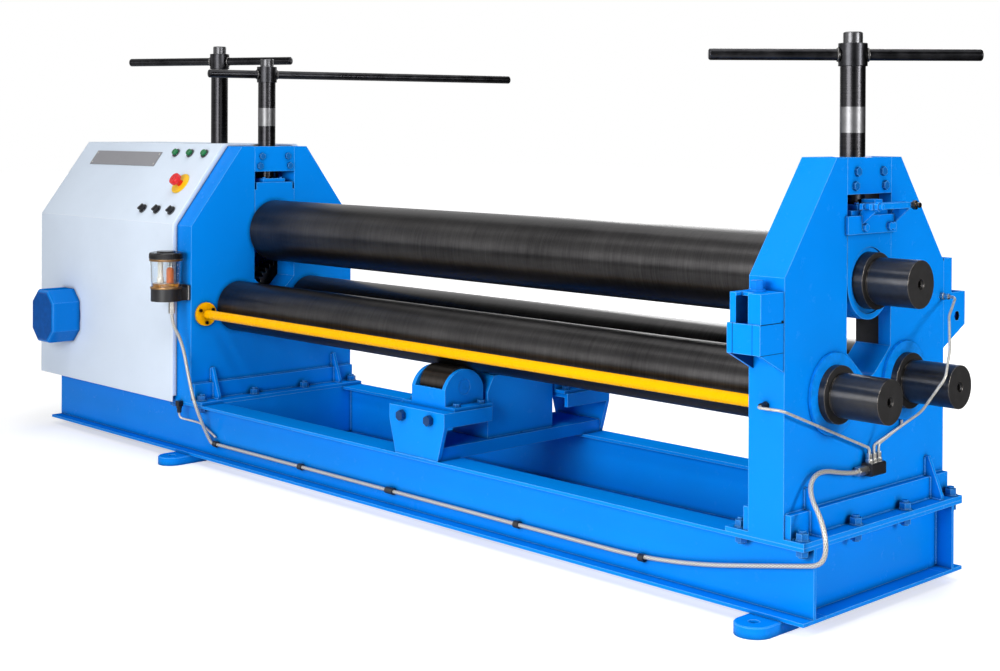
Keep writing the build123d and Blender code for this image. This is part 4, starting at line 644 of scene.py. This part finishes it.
# Fine pieces
class Shape:
    """Vertices and faces gathered for one piece."""

    def __init__(self):
        self.points = []
        self.faces = []

    def ring_wall(self, rings):
        """Skin over closed rings of points that all have the same count."""
        start = len(self.points)
        count = len(rings[0])
        for ring in rings:
            self.points.extend(ring)
        for row in range(len(rings) - 1):
            for k in range(count):
                a = start + row * count + k
                b = start + row * count + (k + 1) % count
                self.faces.append((a, b, b + count, a + count))

    def cap(self, ring, flip=False):
        """Flat face over one ring."""
        start = len(self.points)
        self.points.extend(ring)
        order = list(range(start, start + len(ring)))
        self.faces.append(tuple(order[::-1] if flip else order))

    def closed_wall(self, rings):
        """Skin over rings with a face at both ends."""
        self.ring_wall(rings)
        self.cap(rings[0], True)
        self.cap(rings[-1])

    def lathe(self, centre, axis, profile, count=32):
        """Turned form from points of radius and distance along the axis, its ends on the axis or joined."""
        axis = Vector(axis).normalized()
        side = axis.orthogonal().normalized()
        other = axis.cross(side)
        rings = []
        for radius, along in profile:
            middle = Vector(centre) + axis * along
            turns = [2 * pi * k / count for k in range(count)]
            rings.append([middle + side * radius * cos(t) + other * radius * sin(t) for t in turns])
        self.ring_wall(rings)

    def tube(self, line, radius, count):
        """Round tube along a line of points; radius is a number or a function of the place along the line."""
        side = None
        rings = []
        for k, point in enumerate(line):
            ahead = line[min(k + 1, len(line) - 1)] - line[max(k - 1, 0)]
            ahead.normalize()
            side = ahead.orthogonal() if side is None else side - ahead * side.dot(ahead)
            side.normalize()
            other = ahead.cross(side)
            size = radius(k) if callable(radius) else radius
            turns = [2 * pi * t / count for t in range(count)]
            rings.append([point + side * size * cos(t) + other * size * sin(t) for t in turns])
        self.closed_wall(rings)

    def block(self, low, high, chamfer):
        """Box with all its edges chamfered."""
        (x0, y0, z0), (x1, y1, z1) = low, high

        def outline(inset, z):
            ax, bx, ay, by = x0 + inset, x1 - inset, y0 + inset, y1 - inset
            corners = (
                (ax + chamfer, ay), (bx - chamfer, ay), (bx, ay + chamfer), (bx, by - chamfer),
                (bx - chamfer, by), (ax + chamfer, by), (ax, by - chamfer), (ax, ay + chamfer),
            )
            return [Vector(corner + (z,)) for corner in corners]

        steps = ((chamfer, z0), (0, z0 + chamfer), (0, z1 - chamfer), (chamfer, z1))
        self.closed_wall([outline(inset, z) for inset, z in steps])

    def piece(self, name, graph, body, slot=None, smooth=True, split=0.7):
        """Object of the gathered faces, sharp at edges that turn by more than split, riding on a body."""
        mesh = bpy.data.meshes.new(name)
        mesh.from_pydata([tuple(p) for p in self.points], [], self.faces)
        work = bmesh.new()
        work.from_mesh(mesh)
        bmesh.ops.remove_doubles(work, verts=work.verts, dist=1e-6)
        bmesh.ops.recalc_face_normals(work, faces=work.faces)
        for face in work.faces:
            face.smooth = smooth
        for edge in work.edges:
            edge.smooth = len(edge.link_faces) == 2 and edge.calc_face_angle(0.0) < split
        work.to_mesh(mesh)
        work.free()
        mesh.materials.append(graph.material)
        made = bpy.data.objects.new(name, mesh)
        scene.collection.objects.link(made)
        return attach(made, body)


# Braided hose: the route of its solid, on one smooth spline
hose_route = [
    (-1.066, -0.375, 0.4667),
    (-1.066, -0.375, 0.437),
    (-1.058, -0.343, 0.377),
    (-1.032, -0.334, 0.261),
    (-1.000, -0.334, 0.187),
    (-0.992, -0.284, 0.071),
    (-0.974, -0.284, 0.071),
    (-0.866, -0.284, 0.071),
    (0.470, -0.284, 0.071),
    (0.820, -0.284, 0.071),
    (1.170, -0.290, 0.140),
    (1.246, -0.300, 0.159),
    (1.244, -0.300, 0.235),
    (1.172, -0.259, 0.290),
    (1.164, -0.213, 0.326),
    (1.161, -0.091, 0.298),
    (1.161, -0.0613, 0.298),
]
hose_radius = 0.005
hose_steps = 36
hose_sides = 14
braid_pitch = 0.011
braid_strands = 6


def smooth_line(route, steps):
    """Points of the NURBS spline that has the route as its control points."""
    curve = bpy.data.curves.new("line", "CURVE")
    curve.dimensions = "3D"
    curve.resolution_u = steps
    spline = curve.splines.new("NURBS")
    spline.points.add(len(route) - 1)
    for point, place in zip(spline.points, route):
        point.co = place + (1.0,)
    spline.order_u = 3
    spline.use_endpoint_u = True
    holder = bpy.data.objects.new("line", curve)
    mesh = bpy.data.meshes.new_from_object(holder)
    line = [v.co.copy() for v in mesh.vertices]
    bpy.data.objects.remove(holder)
    bpy.data.curves.remove(curve)
    bpy.data.meshes.remove(mesh)
    return line


def braid_finish(name):
    """Wires that cross each other in two directions; the map's X is the length and its Y the turn."""
    g = Graph(name)
    strip = g.add("ShaderNodeSeparateXYZ", Vector=g.add("ShaderNodeUVMap").outputs[0])
    turns_along = g.math("MULTIPLY", strip.outputs["X"], 2 * pi / braid_pitch)
    turns_round = g.math("MULTIPLY", strip.outputs["Y"], 2 * pi * braid_strands)
    one_way = g.math("SINE", g.math("ADD", turns_along, turns_round))
    other_way = g.math("SINE", g.math("SUBTRACT", turns_along, turns_round))
    weave = g.math("MAXIMUM", one_way, other_way)
    stain = g.noise(150.0, 4.0)
    wire_tone = g.mix(g.span(weave, -0.6, 0.9), (0.20, 0.19, 0.17, 1), (0.68, 0.66, 0.61, 1))
    g.set(Base_Color=g.mix(g.span(stain, 0.4, 0.75, 0.0, 0.5), wire_tone, (0.45, 0.42, 0.37, 1)))
    g.set(Metallic=0.40)
    g.set(Roughness=g.span(stain, 0.3, 0.7, 0.3, 0.48))
    g.set(Normal=g.bump(weave, 0.5, 0.0005))
    return g


def braided_tube(name, line, radius, count):
    """Tube with its length and turn as map coordinates, for the braid."""
    skin = Shape()
    skin.tube(line, radius, count)
    mesh = bpy.data.meshes.new(name)
    mesh.from_pydata([tuple(p) for p in skin.points], [], skin.faces)
    travelled = [0.0]
    for before, point in zip(line, line[1:]):
        travelled.append(travelled[-1] + (point - before).length)
    chart = mesh.uv_layers.new(name="UVMap")
    for face in mesh.polygons:
        face.use_smooth = True
        row, place = divmod(face.index, count)
        if face.loop_total == 4 and row < len(line) - 1:
            corners = ((row, place), (row, place + 1), (row + 1, place + 1), (row + 1, place))
            for loop, (ring, step) in zip(face.loop_indices, corners):
                chart.data[loop].uv = (travelled[ring], step / count)
    mesh.materials.append(braid_finish("braided_hose").material)
    made = bpy.data.objects.new(name, mesh)
    scene.collection.objects.link(made)
    return made


hose = braided_tube("braided_hose_run", smooth_line(hose_route, hose_steps), hose_radius, hose_sides)
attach(hose, "frame")
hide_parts("oil_hose")

# Lubricator: oil, strainer, piston tube, spring and rod in the cup, rings at its ends, notches round its lid
cup = Vector((-1.100, -0.375, 0.0))
cup_low = 0.541
cup_high = 0.632
inside_floor = 0.5585
upright = (0, 0, 1)

oil_floor = cup_low + 0.0035
oil_fill = Shape()
oil_fill.lathe(
    cup, upright, [(0, oil_floor), (0.0402, oil_floor), (0.0408, oil_floor + 0.013), (0, oil_floor + 0.0125)]
)
oil_fill.piece("lubricator_oil", oil, "frame")

strainer_low = 0.562
strainer_pitch = 0.004
strainer_ribs = 9
rib_radius = 0.0118
groove_radius = 0.0105
strainer_profile = [(0, inside_floor), (0.012, inside_floor), (0.012, 0.561)]
for rib in range(strainer_ribs):
    rib_z = strainer_low + rib * strainer_pitch
    strainer_profile += [(groove_radius, rib_z), (rib_radius, rib_z + 0.0008)]
    strainer_profile += [(rib_radius, rib_z + 0.0022), (groove_radius, rib_z + 0.003)]
strainer_profile += [(0.0112, 0.600), (0.006, 0.606), (0, 0.606)]
strainer = Shape()
strainer.lathe(cup + Vector((0.016, 0.004, 0)), upright, strainer_profile, 24)
strainer.piece("lubricator_strainer", orange, "frame")

piston_profile = [
    (0, inside_floor), (0.0105, inside_floor), (0.0105, 0.574), (0.0085, 0.576),
    (0.0085, 0.622), (0.011, 0.624), (0.011, 0.630), (0, 0.630),
]
piston = Shape()
piston.lathe(cup + Vector((-0.013, -0.012, 0)), upright, piston_profile, 24)
piston.piece("lubricator_piston", ivory, "frame")

spring_place = Vector((0.002, 0.018, 0))
spring_radius = 0.0125
spring_low = 0.5595
spring_height = 0.064
spring_turns = 7
turn_steps = 16
wire_radius = 0.0011
spring_line = []
for step in range(spring_turns * turn_steps + 1):
    angle = 2 * pi * step / turn_steps
    height = spring_low + spring_height * step / (spring_turns * turn_steps)
    coil = Vector((spring_radius * cos(angle), spring_radius * sin(angle), height))
    spring_line.append(cup + spring_place + coil)
rod_profile = [
    (0, inside_floor), (0.0045, inside_floor), (0.0045, 0.616), (0.0030, 0.619), (0.0030, 0.6305), (0, 0.6305)
]
spring = Shape()
spring.tube(spring_line, wire_radius, 8)
spring.lathe(cup + spring_place, upright, rod_profile, 16)
spring.piece("lubricator_spring", zinc_steel, "frame")

foot_ring = [
    (0.0447, 0.0002), (0.0478, 0.0002), (0.0484, 0.0012), (0.0484, 0.0052),
    (0.0474, 0.0064), (0.0450, 0.0064), (0.0447, 0.0002),
]
head_ring = [
    (0.0483, -0.0062), (0.0506, -0.0062), (0.0512, -0.005), (0.0512, -0.0003),
    (0.0485, -0.0003), (0.0483, -0.0062),
]
brown_ring = steel(
    "brown_ring", (0.20, 0.10, 0.04, 1), (0.42, 0.25, 0.11, 1), 0.3, (90.0, 90.0, 400.0), 0.8, 0.0006
)
cup_ring = Shape()
for level_z, ring_profile in ((cup_low, foot_ring), (cup_high, head_ring)):
    cup_ring.lathe(cup, upright, [(radius, level_z + up) for radius, up in ring_profile], 56)
cup_ring.piece("lubricator_rings", brown_ring, "frame")

lid_notches = 48
notch_depth = 0.0009
lid_top = cup_high + 0.024


def lid_ring(radius, notch, z):
    """One outline of the lid, with grip notches cut into it."""
    ring = []
    for k in range(4 * lid_notches):
        angle = 2 * pi * k / (4 * lid_notches)
        size = radius - (notch if k % 4 in (1, 2) else 0.0)
        ring.append(cup + Vector((size * cos(angle), size * sin(angle), z)))
    return ring


lid_rings = [
    lid_ring(0.0495, 0.0, cup_high + 0.0002),
    lid_ring(0.0516, 0.0, cup_high + 0.0012),
    lid_ring(0.0520, 0.0, cup_high + 0.0030),
    lid_ring(0.0520, notch_depth, cup_high + 0.0036),
    lid_ring(0.0518, notch_depth, lid_top - 0.0085),
    lid_ring(0.0516, 0.0, lid_top - 0.0078),
    lid_ring(0.0508, 0.0, lid_top - 0.0058),
    lid_ring(0.0488, 0.0, lid_top - 0.0044),
    lid_ring(0.0445, 0.0, lid_top - 0.0040),
    lid_ring(0.0435, 0.0, lid_top - 0.0049),
    lid_ring(0.0290, 0.0, lid_top - 0.0046),
    lid_ring(0.0280, 0.0, lid_top - 0.0010),
    lid_ring(0.0268, 0.0, lid_top),
    lid_ring(0.0, 0.0, lid_top),
]
lid_shape = Shape()
lid_shape.ring_wall(lid_rings)
lid_shape.cap(lid_rings[0], True)
lid = lid_shape.piece("lubricator_lid", lid_plastic, "frame", "black_plastic", split=0.6)
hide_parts("lubricator_cap")

ear_near = 0.0304
ear_far = 0.0385
ear_front_y = -0.3192
ear_back_y = -0.3172
ear_low_z = 0.505
ear_high_z = 0.548
flange_ears = Shape()
for hand in (-1, 1):
    ear_low_x, ear_high_x = sorted((cup.x + hand * ear_near, cup.x + hand * ear_far))
    flange_ears.block((ear_low_x, ear_front_y, ear_low_z), (ear_high_x, ear_back_y, ear_high_z), 0.0008)
flange_ears.piece("lubricator_flange", zinc_steel, "frame", "zinc_steel", split=0.4)

# Rings on the hand bars beside their hubs; each bar has its place, height, turn in degrees and body
ring_bore = 0.01325
bar_ring_profile = [
    (ring_bore, 0.0300), (0.0152, 0.0300), (0.0158, 0.0308), (0.0158, 0.0345),
    (0.0150, 0.0354), (ring_bore, 0.0354), (ring_bore, 0.0300),
]
bars = {
    "right_handle": (1.105, 1.200, 45, "right_screw"),
    "left_handle": (-1.105, 1.206, 74, "left_handle"),
    "tail_handle": (-1.377, 1.256, 27, "tail_handle"),
}
for handle, (bar_x, bar_z, bar_turn, body) in bars.items():
    bar_axis = Vector((cos(radians(bar_turn)), sin(radians(bar_turn)), 0))
    bar_rings = Shape()
    for hand in (-1, 1):
        bar_rings.lathe(Vector((bar_x, 0, bar_z)), bar_axis * hand, bar_ring_profile, 28)
    bar_rings.piece(handle + "_rings", bolt_steel, body)

# Weld beads along the joints of the plates
beads = Shape()
bead_pitch = 0.0035


def bead(start, end, size):
    """Rippled weld bead along a straight joint."""
    start, end = Vector(start), Vector(end)
    count = max(4, int((end - start).length / bead_pitch * 2))
    line = [start.lerp(end, k / count) for k in range(count + 1)]

    def thick(k):
        if k in (0, count):
            return size * 0.4
        return size * (1.08 if k % 2 else 0.9) * (1 + 0.08 * sin(k * 1.7) * sin(k * 0.37))

    beads.tube(line, thick, 7)


def upright_bead(x, y, low, high, size):
    """Bead straight up."""
    bead((x, y, low), (x, y, high), size)


def cross_bead(x, y0, y1, z, size):
    """Level bead across the machine."""
    bead((x, y0, z), (x, y1, z), size)


# Beads of the housings' feet: gussets, foot strips and the plates above them
foot_level = 0.195
strip_top = 0.2452
gusset_top = 0.288
strip_width = 0.015
gusset_width = 0.044
gusset_y = 0.235
gusset_half = 0.0055
plate_spans = ((-0.305, -0.243), (-0.227, 0.227), (0.243, 0.305))
strip_spans = ((-0.302, -0.243), (-0.226, -0.130), (-0.062, 0.062), (0.130, 0.226), (0.243, 0.302))
for end in (-1, 1):
    for face_x, hand in ((housing_outer_x, 1), (housing_inner_x, -1)):
        strip_x = face_x + hand * strip_width
        tip_x = face_x + hand * gusset_width
        for side in (-1, 1):
            for edge_y in (side * gusset_y - gusset_half, side * gusset_y + gusset_half):
                upright_bead(end * (strip_x + hand * 0.001), edge_y, foot_level, strip_top, 0.0032)
                upright_bead(end * (face_x + hand * 0.001), edge_y, strip_top, gusset_top, 0.0032)
                along_z = foot_level + 0.0005
                bead((end * strip_x, edge_y, along_z), (end * tip_x, edge_y, along_z), 0.0030)
        for y0, y1 in plate_spans:
            cross_bead(end * (face_x + hand * 0.0006), y0, y1, strip_top + 0.0004, 0.0024)
        for y0, y1 in strip_spans:
            cross_bead(end * (strip_x + hand * 0.0006), y0, y1, foot_level + 0.0006, 0.0026)

# Beads of the cross channels between the base beams, of the stands' feet and of the middle pedestal
web_y = 0.2664
web_low = 0.036
web_high = 0.174
stand_y = 0.3114
stand_half = 0.080
beam_bead_z = 0.1856
pedestal_x = 0.069
pedestal_near_y = 0.004
pedestal_far_y = 0.118
tie_bead_z = 0.2186
for x in (-1.150, -1.000, 1.000, 1.150):
    hand = 1 if x > 0 else -1
    for side in (-1, 1):
        for offset_x in (-0.0006, 0.0086):
            upright_bead(x + hand * offset_x, side * web_y, web_low, web_high, 0.0030)
for side in (-1, 1):
    bead((-stand_half, side * stand_y, beam_bead_z), (stand_half, side * stand_y, beam_bead_z), 0.0022)
    for hand in (-1, 1):
        bead_x = hand * (pedestal_x + 0.0006)
        cross_bead(bead_x, side * pedestal_near_y, side * pedestal_far_y, tie_bead_z, 0.0026)
beads.piece("weld_beads", blue_paint, "frame", "blue_paint")

# Folded hem along the cabinet's open end, closing the gap round the housing
hem_outer = [(0.3265, 0.200), (0.3265, 0.7338), (0.1447, 0.9815)]
hem_inner = [(0.3118, 0.200), (0.3118, 0.7303), (0.1264, 0.9756)]
hem_back = -1.1440
hem_edge = -1.1402
hem_front = -1.1397
bend_share = 0.12


def both_sides(half):
    """Outline over both sides of the machine from the points of one side."""
    return [(-y, z) for y, z in half] + half[::-1]


hem_rings = []
for (outer_y, outer_z), (inner_y, inner_z) in zip(both_sides(hem_outer), both_sides(hem_inner)):
    bend_y = outer_y * (1 - bend_share) + inner_y * bend_share
    bend_z = outer_z * (1 - bend_share) + inner_z * bend_share
    hem_rings.append([
        Vector((hem_back, outer_y, outer_z)),
        Vector((hem_edge, outer_y, outer_z)),
        Vector((hem_front, bend_y, bend_z)),
        Vector((hem_front, inner_y, inner_z)),
        Vector((hem_back, inner_y, inner_z)),
    ])
hem = Shape()
hem.closed_wall(hem_rings)
hem.piece("cabinet_hem", white_paint, "frame", "white_paint", smooth=False)

# Rivets at the corners of the bare plate
slope = Vector((0, 0.182, 0.248)).normalized()
outward = Vector((0, -0.248, 0.182)).normalized()
panel_foot = Vector((0, -0.327, 0.734))
plate_low, plate_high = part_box("name_plate")
plate_up = 0.2416
plate_face = 0.0014
rivet_inset = 0.009
rivet_up = 0.0195
rivet_profile = [(0.0032, 0.0), (0.0032, 0.0006), (0.0026, 0.0013), (0.0014, 0.0018), (0, 0.0019)]
rivets = Shape()
for rivet_x in (plate_low.x + rivet_inset, plate_high.x - rivet_inset):
    for up in (plate_up - rivet_up, plate_up + rivet_up):
        base = panel_foot + slope * up + outward * plate_face
        rivets.lathe(Vector((rivet_x, base.y, base.z)), outward, rivet_profile, 16)
rivets.piece("plate_rivets", zinc_steel, "frame", "zinc_steel")

# World: white to the camera, a weak fill on matt surfaces, and bright windows mirrored in glossy ones.
# A window has its direction, the cosines where it starts and is full, and its brightness.
world = bpy.data.worlds.new("studio")
scene.world = world
world.use_nodes = True
sky = world.node_tree
fill_level = 0.15
dark_level = 0.05
windows = (
    ((-0.72, 0.69, 0.05), 0.80, 0.97, 1.4),
    ((-0.70, 0.51, 0.50), 0.88, 0.97, 1.0),
    ((-0.72, -0.64, 0.27), 0.88, 0.99, 1.6),
    ((-0.60, -0.45, 0.66), 0.90, 0.985, 1.4),
    ((-1.00, 0.00, 0.10), 0.30, 0.75, 0.35),
    ((0.03, -1.00, 0.05), 0.955, 0.985, 2.3),
    ((0.98, -0.21, 0.05), 0.955, 0.985, 2.3),
)


def sky_node(kind, operation, *inputs):
    """World node with constants or links on its inputs, each given with its place."""
    made = sky.nodes.new(kind)
    if operation:
        made.operation = operation
    for place, value in inputs:
        if isinstance(value, bpy.types.NodeSocket):
            sky.links.new(value, made.inputs[place])
        else:
            made.inputs[place].default_value = value
    return made


def sky_math(operation, first, second):
    """Number worked out from two others, for the world."""
    return sky_node("ShaderNodeMath", operation, (0, first), (1, second)).outputs[0]


sky_rays = sky.nodes.new("ShaderNodeLightPath").outputs
heading = sky.nodes.new("ShaderNodeTexCoord").outputs["Generated"]
mirrored = dark_level
for direction, edge, full, brightness in windows:
    closeness = sky_node("ShaderNodeVectorMath", "DOT_PRODUCT", (0, heading), (1, direction)).outputs["Value"]
    patch = sky_node("ShaderNodeMapRange", None, (0, closeness), (1, edge), (2, full), (4, brightness))
    mirrored = sky_math("MAXIMUM", patch.outputs[0], mirrored)
shown = sky_math("MAXIMUM", sky_rays["Is Camera Ray"], sky_rays["Is Transmission Ray"])
glossy = sky_math("MULTIPLY", sky_rays["Is Glossy Ray"], mirrored)
fill = sky_math("MULTIPLY", sky_rays["Is Diffuse Ray"], fill_level)
strength = sky_math("MAXIMUM", shown, sky_math("ADD", glossy, fill))
sky.links.new(strength, sky.nodes["Background"].inputs["Strength"])
sky.nodes["Background"].inputs["Color"].default_value = (1, 1, 1, 1)

# Pale floor that keeps the shadow near the machine, fades to white and is dark in mirrors behind the machine
floor_reach = 30.0
fade_start = 2.2
fade_end = 7.0
toward_back = (0.55, 0.84, 0.0)
floor_mesh = bpy.data.meshes.new("floor")
corner_signs = ((-1, -1), (1, -1), (1, 1), (-1, 1))
floor_mesh.from_pydata([(x * floor_reach, y * floor_reach, 0) for x, y in corner_signs], [], [(0, 1, 2, 3)])
floor = bpy.data.objects.new("floor", floor_mesh)
scene.collection.objects.link(floor)
floor_graph = Graph("floor")
floor_graph.set(Roughness=0.9, Specular_IOR_Level=0.0, Emission_Color=(1, 1, 1, 1))
floor_rays = floor_graph.add("ShaderNodeLightPath").outputs
behind = floor_graph.span(floor_graph.vector("DOT_PRODUCT", floor_graph.coords, toward_back), 0.2, 1.2)
dimmed = floor_graph.every(floor_rays["Is Glossy Ray"], behind)
floor_graph.set(Base_Color=floor_graph.mix(dimmed, (0.80, 0.80, 0.80, 1), (0.05, 0.05, 0.05, 1)))
glow = floor_graph.span(floor_graph.vector("LENGTH", floor_graph.coords), fade_start, fade_end, 0.5, 1.0)
floor_graph.set(Emission_Strength=floor_graph.every(floor_rays["Is Camera Ray"], glow))
floor_mesh.materials.append(floor_graph.material)


# Soft boxes
def soft_box(name, place, target, size, power):
    """Rectangular lamp at a place, turned to a target, with its size in metres and power in watts."""
    light = bpy.data.lights.new(name, "AREA")
    light.shape = "RECTANGLE"
    light.size, light.size_y = size
    light.energy = power
    lamp = bpy.data.objects.new(name, light)
    lamp.location = place
    lamp.rotation_mode = "QUATERNION"
    lamp.rotation_quaternion = (Vector(target) - Vector(place)).to_track_quat("-Z", "Y")
    scene.collection.objects.link(lamp)


soft_box("top_box", (0.2, 0.3, 4.6), (0, 0, 0.5), (5.0, 3.0), 105)
soft_box("key_box", (0.8, -2.2, 3.6), (0.4, 0, 0.6), (2.6, 0.5), 40)
soft_box("back_box", (-1.6, 4.4, 2.6), (-0.4, 0, 0.6), (4.0, 2.0), 110)
soft_box("front_box", (0.9, -3.7, 1.25), (0.5, 0, 0.3), (2.2, 1.4), 117)
soft_box("side_box", (4.5, 0.2, 1.4), (0.9, 0, 0.35), (0.8, 0.8), 74)
